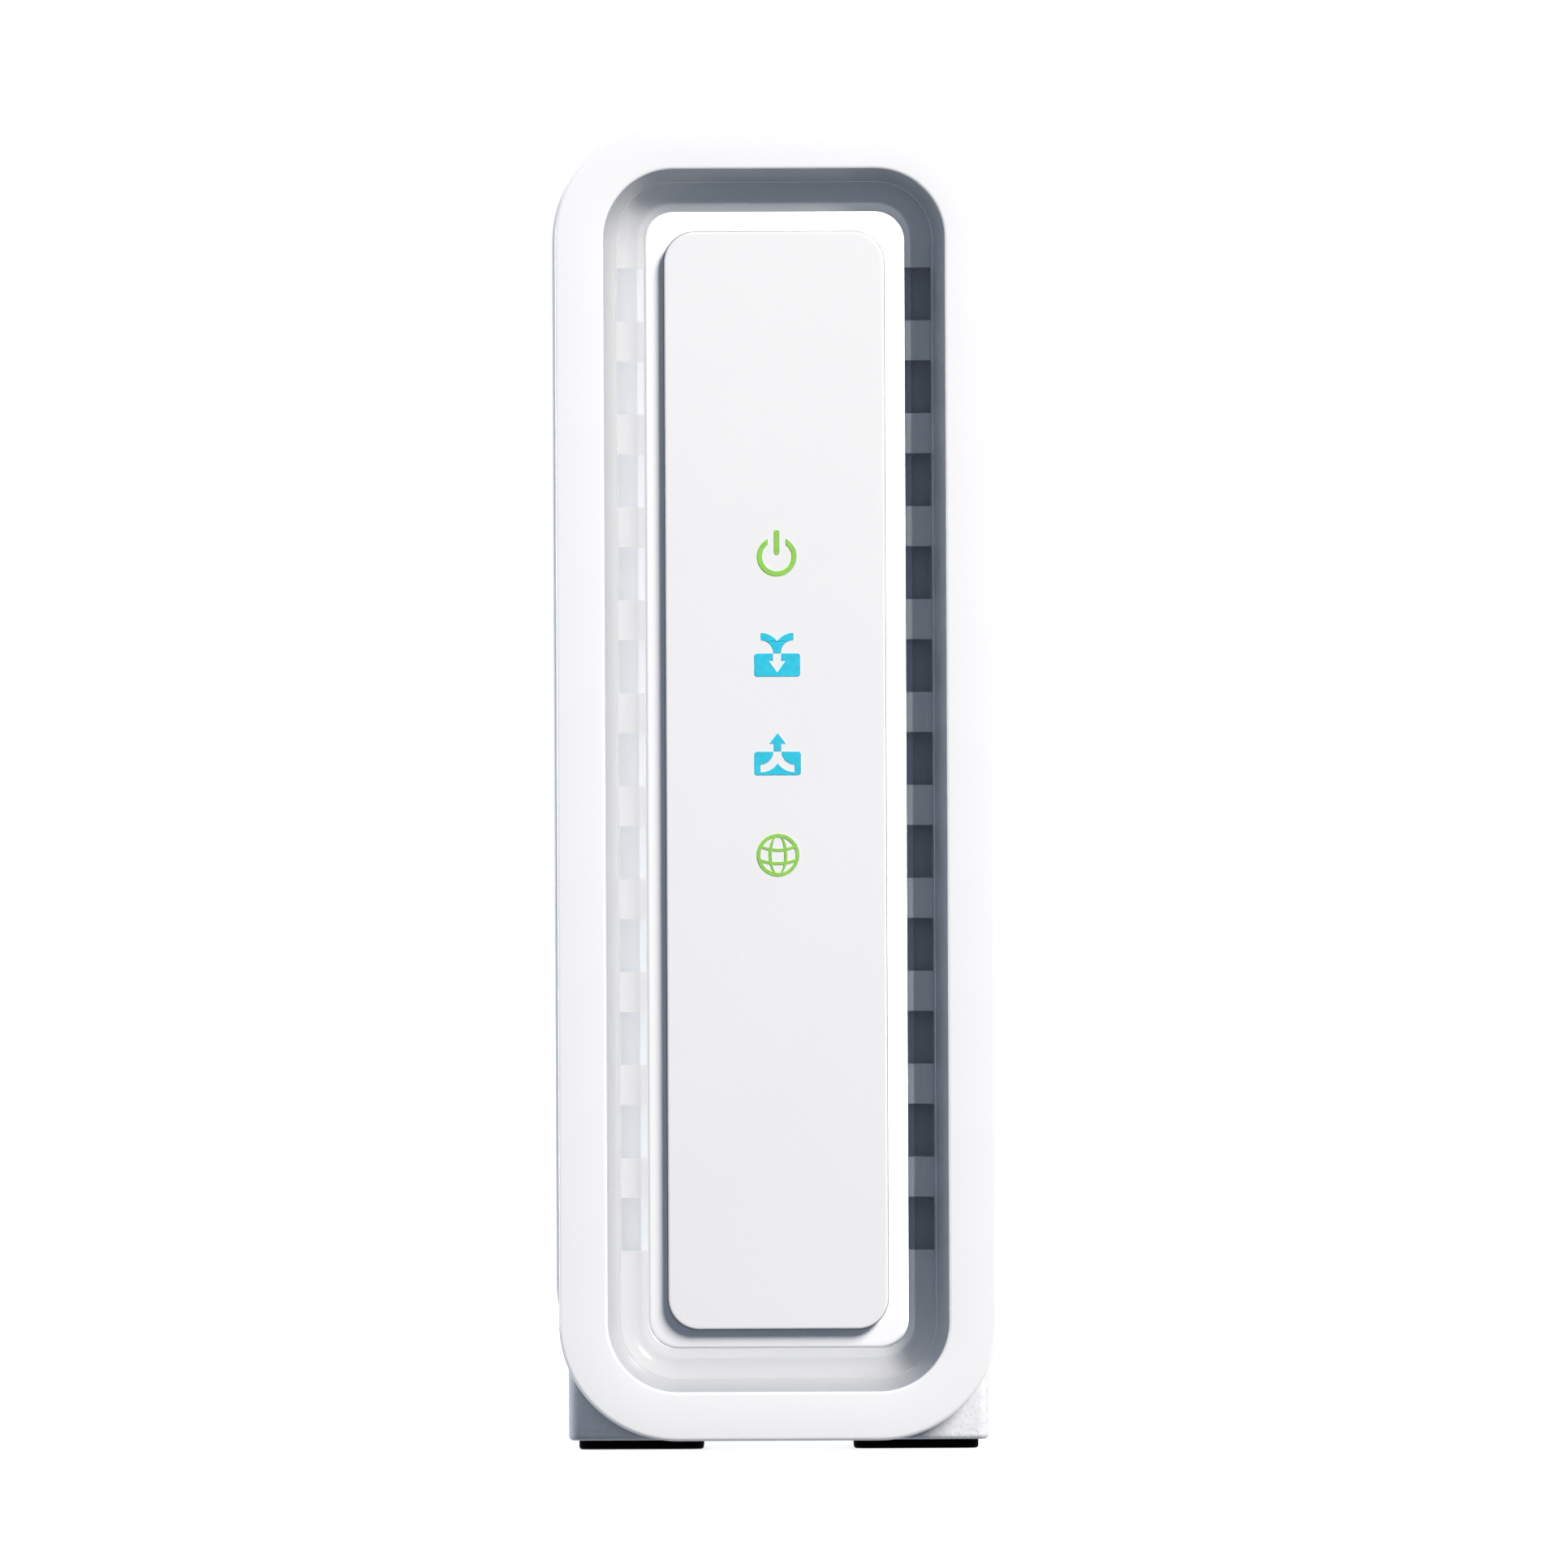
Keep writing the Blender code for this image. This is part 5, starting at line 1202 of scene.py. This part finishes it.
def soft_shading():
    """Geometry nodes that shade a faceted part smooth, apart from its sharp edges."""
    group = bpy.data.node_groups.new("soft_shading", "GeometryNodeTree")
    group.interface.new_socket("Geometry", in_out="INPUT", socket_type="NodeSocketGeometry")
    group.interface.new_socket("Geometry", in_out="OUTPUT", socket_type="NodeSocketGeometry")
    start = group.nodes.new("NodeGroupInput")
    end = group.nodes.new("NodeGroupOutput")
    faces = group.nodes.new("GeometryNodeSetShadeSmooth")
    edges = group.nodes.new("GeometryNodeSetShadeSmooth")
    edges.domain = "EDGE"
    angle = group.nodes.new("GeometryNodeInputMeshEdgeAngle")
    flat = group.nodes.new("FunctionNodeCompare")
    flat.operation = "LESS_THAN"
    flat.inputs["B"].default_value = SHARP
    link = group.links.new
    link(start.outputs[0], faces.inputs["Geometry"])
    link(faces.outputs[0], edges.inputs["Geometry"])
    link(angle.outputs["Unsigned Angle"], flat.inputs["A"])
    link(flat.outputs[0], edges.inputs["Shade Smooth"])
    link(edges.outputs[0], end.inputs[0])
    return group


def dress_inside():
    shading = soft_shading()
    for slot, names in INSIDE.items():
        for name in names:
            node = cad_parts[name]
            node.data.materials.clear()
            node.data.materials.append(looks[slot])
            weld = node.modifiers.new("welded", "WELD")
            weld.merge_threshold = WELD
            round_edges(node, INSIDE_EDGE)
            node.modifiers.new("shading", "NODES").node_group = shading


# Studio

VIEW_X = 0.0008
VIEW_Z = 0.0666
VIEW_WIDTH = 0.1567  # what the picture takes in at the bezel's face
VIEW_DISTANCE = 4.0
VIEW_ROLL = math.radians(-0.25)
SENSOR = 36.0
FILL = (0.128, 0.159, 0.213)  # what comes from in front, round the camera
FILL_BELOW = 0.35  # times that, from straight below
FILL_ABOVE = 1.65
SURROUND = (0.92, 0.93, 0.95)  # what comes from the sides and behind
SURROUND_EDGE = (-0.15, 0.35)  # of a direction's y
WARM = (1.0, 0.957, 0.91)
COOL = (0.95, 0.98, 1.0)
LIGHTS = {
    "key": ((0.62, -1.03, 0.57), 0.50, 22.0, WARM),
    "edge_fill": ((-1.2, -0.05, 0.05), 0.40, 6.8, COOL),
    "rim_key": ((0.80, -0.57, 1.06), 0.50, 64.0, WARM),
    "rim_fill": ((-1.0, -0.045, -0.90), 0.30, 20.0, WARM),
    "island_fill": ((-1.0, -0.045, -0.90), 0.30, 8.5, WARM),
    "channel_key": ((0.79, -0.93, 0.67), 0.26, 8.7, WARM),
    "channel_fill": ((0, -1.30, 0), 0.30, 0.7, COOL),
    "baffle_key": ((0.79, -0.93, 0.614), 0.26, 15.5, COOL),
    "rear_left": ((-0.70, 0.85, 0.60), 0.60, 3.6, COOL),
    "rear_right": ((0.70, 0.85, 0.60), 0.60, 3.6, COOL),
}
# The pieces that a light shines on, when it isn't the whole modem
LIT = {
    "edge_fill": ["bezel_ring", "left_housing", "plinth"],
    "rim_key": ["plate_surround"],
    "rim_fill": ["plate_surround"],
    "island_fill": ["island_wall"],
    "channel_key": ["vent_channel", "bezel_wall"],
    "channel_fill": ["vent_channel"],
    "baffle_key": ["vent_baffles"],
}
SUNKEN = ["plate_surround", "island_wall", "vent_channel", "bezel_wall", "vent_baffles"]
# What shades those pieces from a light. The CAD model's own plate isn't shown, so it shades nothing
SHADED_BY = {
    "rim_fill": ["face_plate"],
    "island_fill": ["face_plate"],
    "channel_key": ["bezel_ring"],
    "channel_fill": ["bezel_ring"],
    "baffle_key": ["bezel_ring"],
}
FLOOR_RADIUS = 12.0
FLOOR_GAP = 0.00005
FLOOR_SHADE = (0.12, 0.55)  # metres from the modem between which its floor turns to plain white
FLOOR_GLOW = (0.80, 1.0)


def make_camera():
    data = bpy.data.cameras.new("camera")
    data.sensor_width = SENSOR
    data.lens = SENSOR * VIEW_DISTANCE / VIEW_WIDTH
    data.clip_start = 0.01
    camera = bpy.data.objects.new("camera", data)
    look = Matrix.Rotation(math.pi / 2, 4, "X") @ Matrix.Rotation(VIEW_ROLL, 4, "Z")
    camera.matrix_world = Matrix.Translation((VIEW_X, FRONT_Y - VIEW_DISTANCE, VIEW_Z)) @ look
    bpy.context.scene.collection.objects.link(camera)
    bpy.context.scene.camera = camera


def light_group(name, members, state):
    """A collection that a light includes or leaves out."""
    group = bpy.data.collections.new(name)
    for member in members:
        group.objects.link(bpy.data.objects[member])
    for entry in group.collection_objects:
        entry.light_linking.link_state = state
    return group


def make_lights():
    """A soft key from the upper right, with others for the sunken parts behind the bezel."""
    aim = Vector((0, 0, FRONT_Z))
    lamps = {}
    for name, (at, size, power, color) in LIGHTS.items():
        data = bpy.data.lights.new(name, "AREA")
        data.shape = "DISK"
        data.size = size
        data.energy = power
        data.color = color
        lamp = bpy.data.objects.new(name, data)
        lamp.location = aim + Vector(at)
        lamp.rotation_euler = (-Vector(at)).to_track_quat("-Z", "Y").to_euler()
        bpy.context.scene.collection.objects.link(lamp)
        lamps[name] = lamp.light_linking
    lamps["key"].receiver_collection = light_group("key_lit", SUNKEN, "EXCLUDE")
    for name, members in LIT.items():
        lamps[name].receiver_collection = light_group(name + "_lit", members, "INCLUDE")
    for name, members in SHADED_BY.items():
        lamps[name].blocker_collection = light_group(name + "_shade", members, "INCLUDE")


def make_world():
    """A white studio round the sides and back, and a dim bluish room in front of the modem."""
    world = bpy.data.worlds.new("studio")
    world.use_nodes = True
    bpy.context.scene.world = world
    nodes = world.node_tree.nodes
    link = world.node_tree.links.new
    split = nodes.new("ShaderNodeSeparateXYZ")
    link(nodes.new("ShaderNodeTexCoord").outputs["Generated"], split.inputs[0])
    rise = nodes.new("ShaderNodeMapRange")
    set_range(rise, -1, 1, FILL_BELOW, FILL_ABOVE)
    link(split.outputs["Z"], rise.inputs["Value"])
    link(rise.outputs["Result"], nodes["Background"].inputs["Strength"])
    share = nodes.new("ShaderNodeMapRange")
    set_range(share, *SURROUND_EDGE, 0, 1)
    link(split.outputs["Y"], share.inputs["Value"])
    path = nodes.new("ShaderNodeLightPath")
    shown = nodes["Background"].outputs[0]
    nodes["Background"].inputs["Color"].default_value = (*FILL, 1)
    for factor, color in ((share.outputs["Result"], SURROUND), (path.outputs["Is Camera Ray"], (1, 1, 1))):
        light = nodes.new("ShaderNodeBackground")
        light.inputs["Color"].default_value = (*color, 1)
        mix = nodes.new("ShaderNodeMixShader")
        link(factor, mix.inputs[0])
        link(shown, mix.inputs[1])
        link(light.outputs[0], mix.inputs[2])
        shown = mix.outputs[0]
    link(shown, nodes["World Output"].inputs["Surface"])


def make_floor():
    """A white floor, on which only the modem's own soft shadow shows."""
    bm = bmesh.new()
    bmesh.ops.create_circle(bm, cap_ends=True, segments=ROUND_STEPS, radius=FLOOR_RADIUS)
    floor = bpy.data.objects.new("floor", finished(bm, "floor"))
    floor.location.z = -FLOOR_GAP
    look = Look("floor", (0.5, 0.5, 0.5), 0.6)
    reach = look.add("ShaderNodeVectorMath")
    reach.operation = "LENGTH"
    look.feed(reach.inputs[0], look.coords)
    look.shader.inputs["Base Color"].default_value = (*look.color, 1)
    look.shader.inputs["Emission Color"].default_value = (1, 1, 1, 1)
    glow = look.spread(reach.outputs["Value"], *FLOOR_GLOW, *FLOOR_SHADE)
    look.feed(look.shader.inputs["Emission Strength"], glow)
    floor.data.materials.append(look.material)
    bpy.context.scene.collection.objects.link(floor)
    floor.visible_diffuse = False
    floor.visible_glossy = False


make_bezel()
make_frame()
make_plate()
for icon, (drawing, finish) in ICONS.items():
    make_icon(icon, drawing, finish)
make_shell("left_housing", "left_shell", -1)
make_shell("right_housing", "right_shell", 1)
make_base()
make_feet()
make_rear_panel()
make_coax()
make_insulator()
make_nut()
make_washer()
make_power_jack()
make_power_pin()
make_reset_cap()
dress_inside()
make_world()
make_floor()
make_lights()
make_camera()
bpy.context.scene.view_settings.view_transform = "Standard"
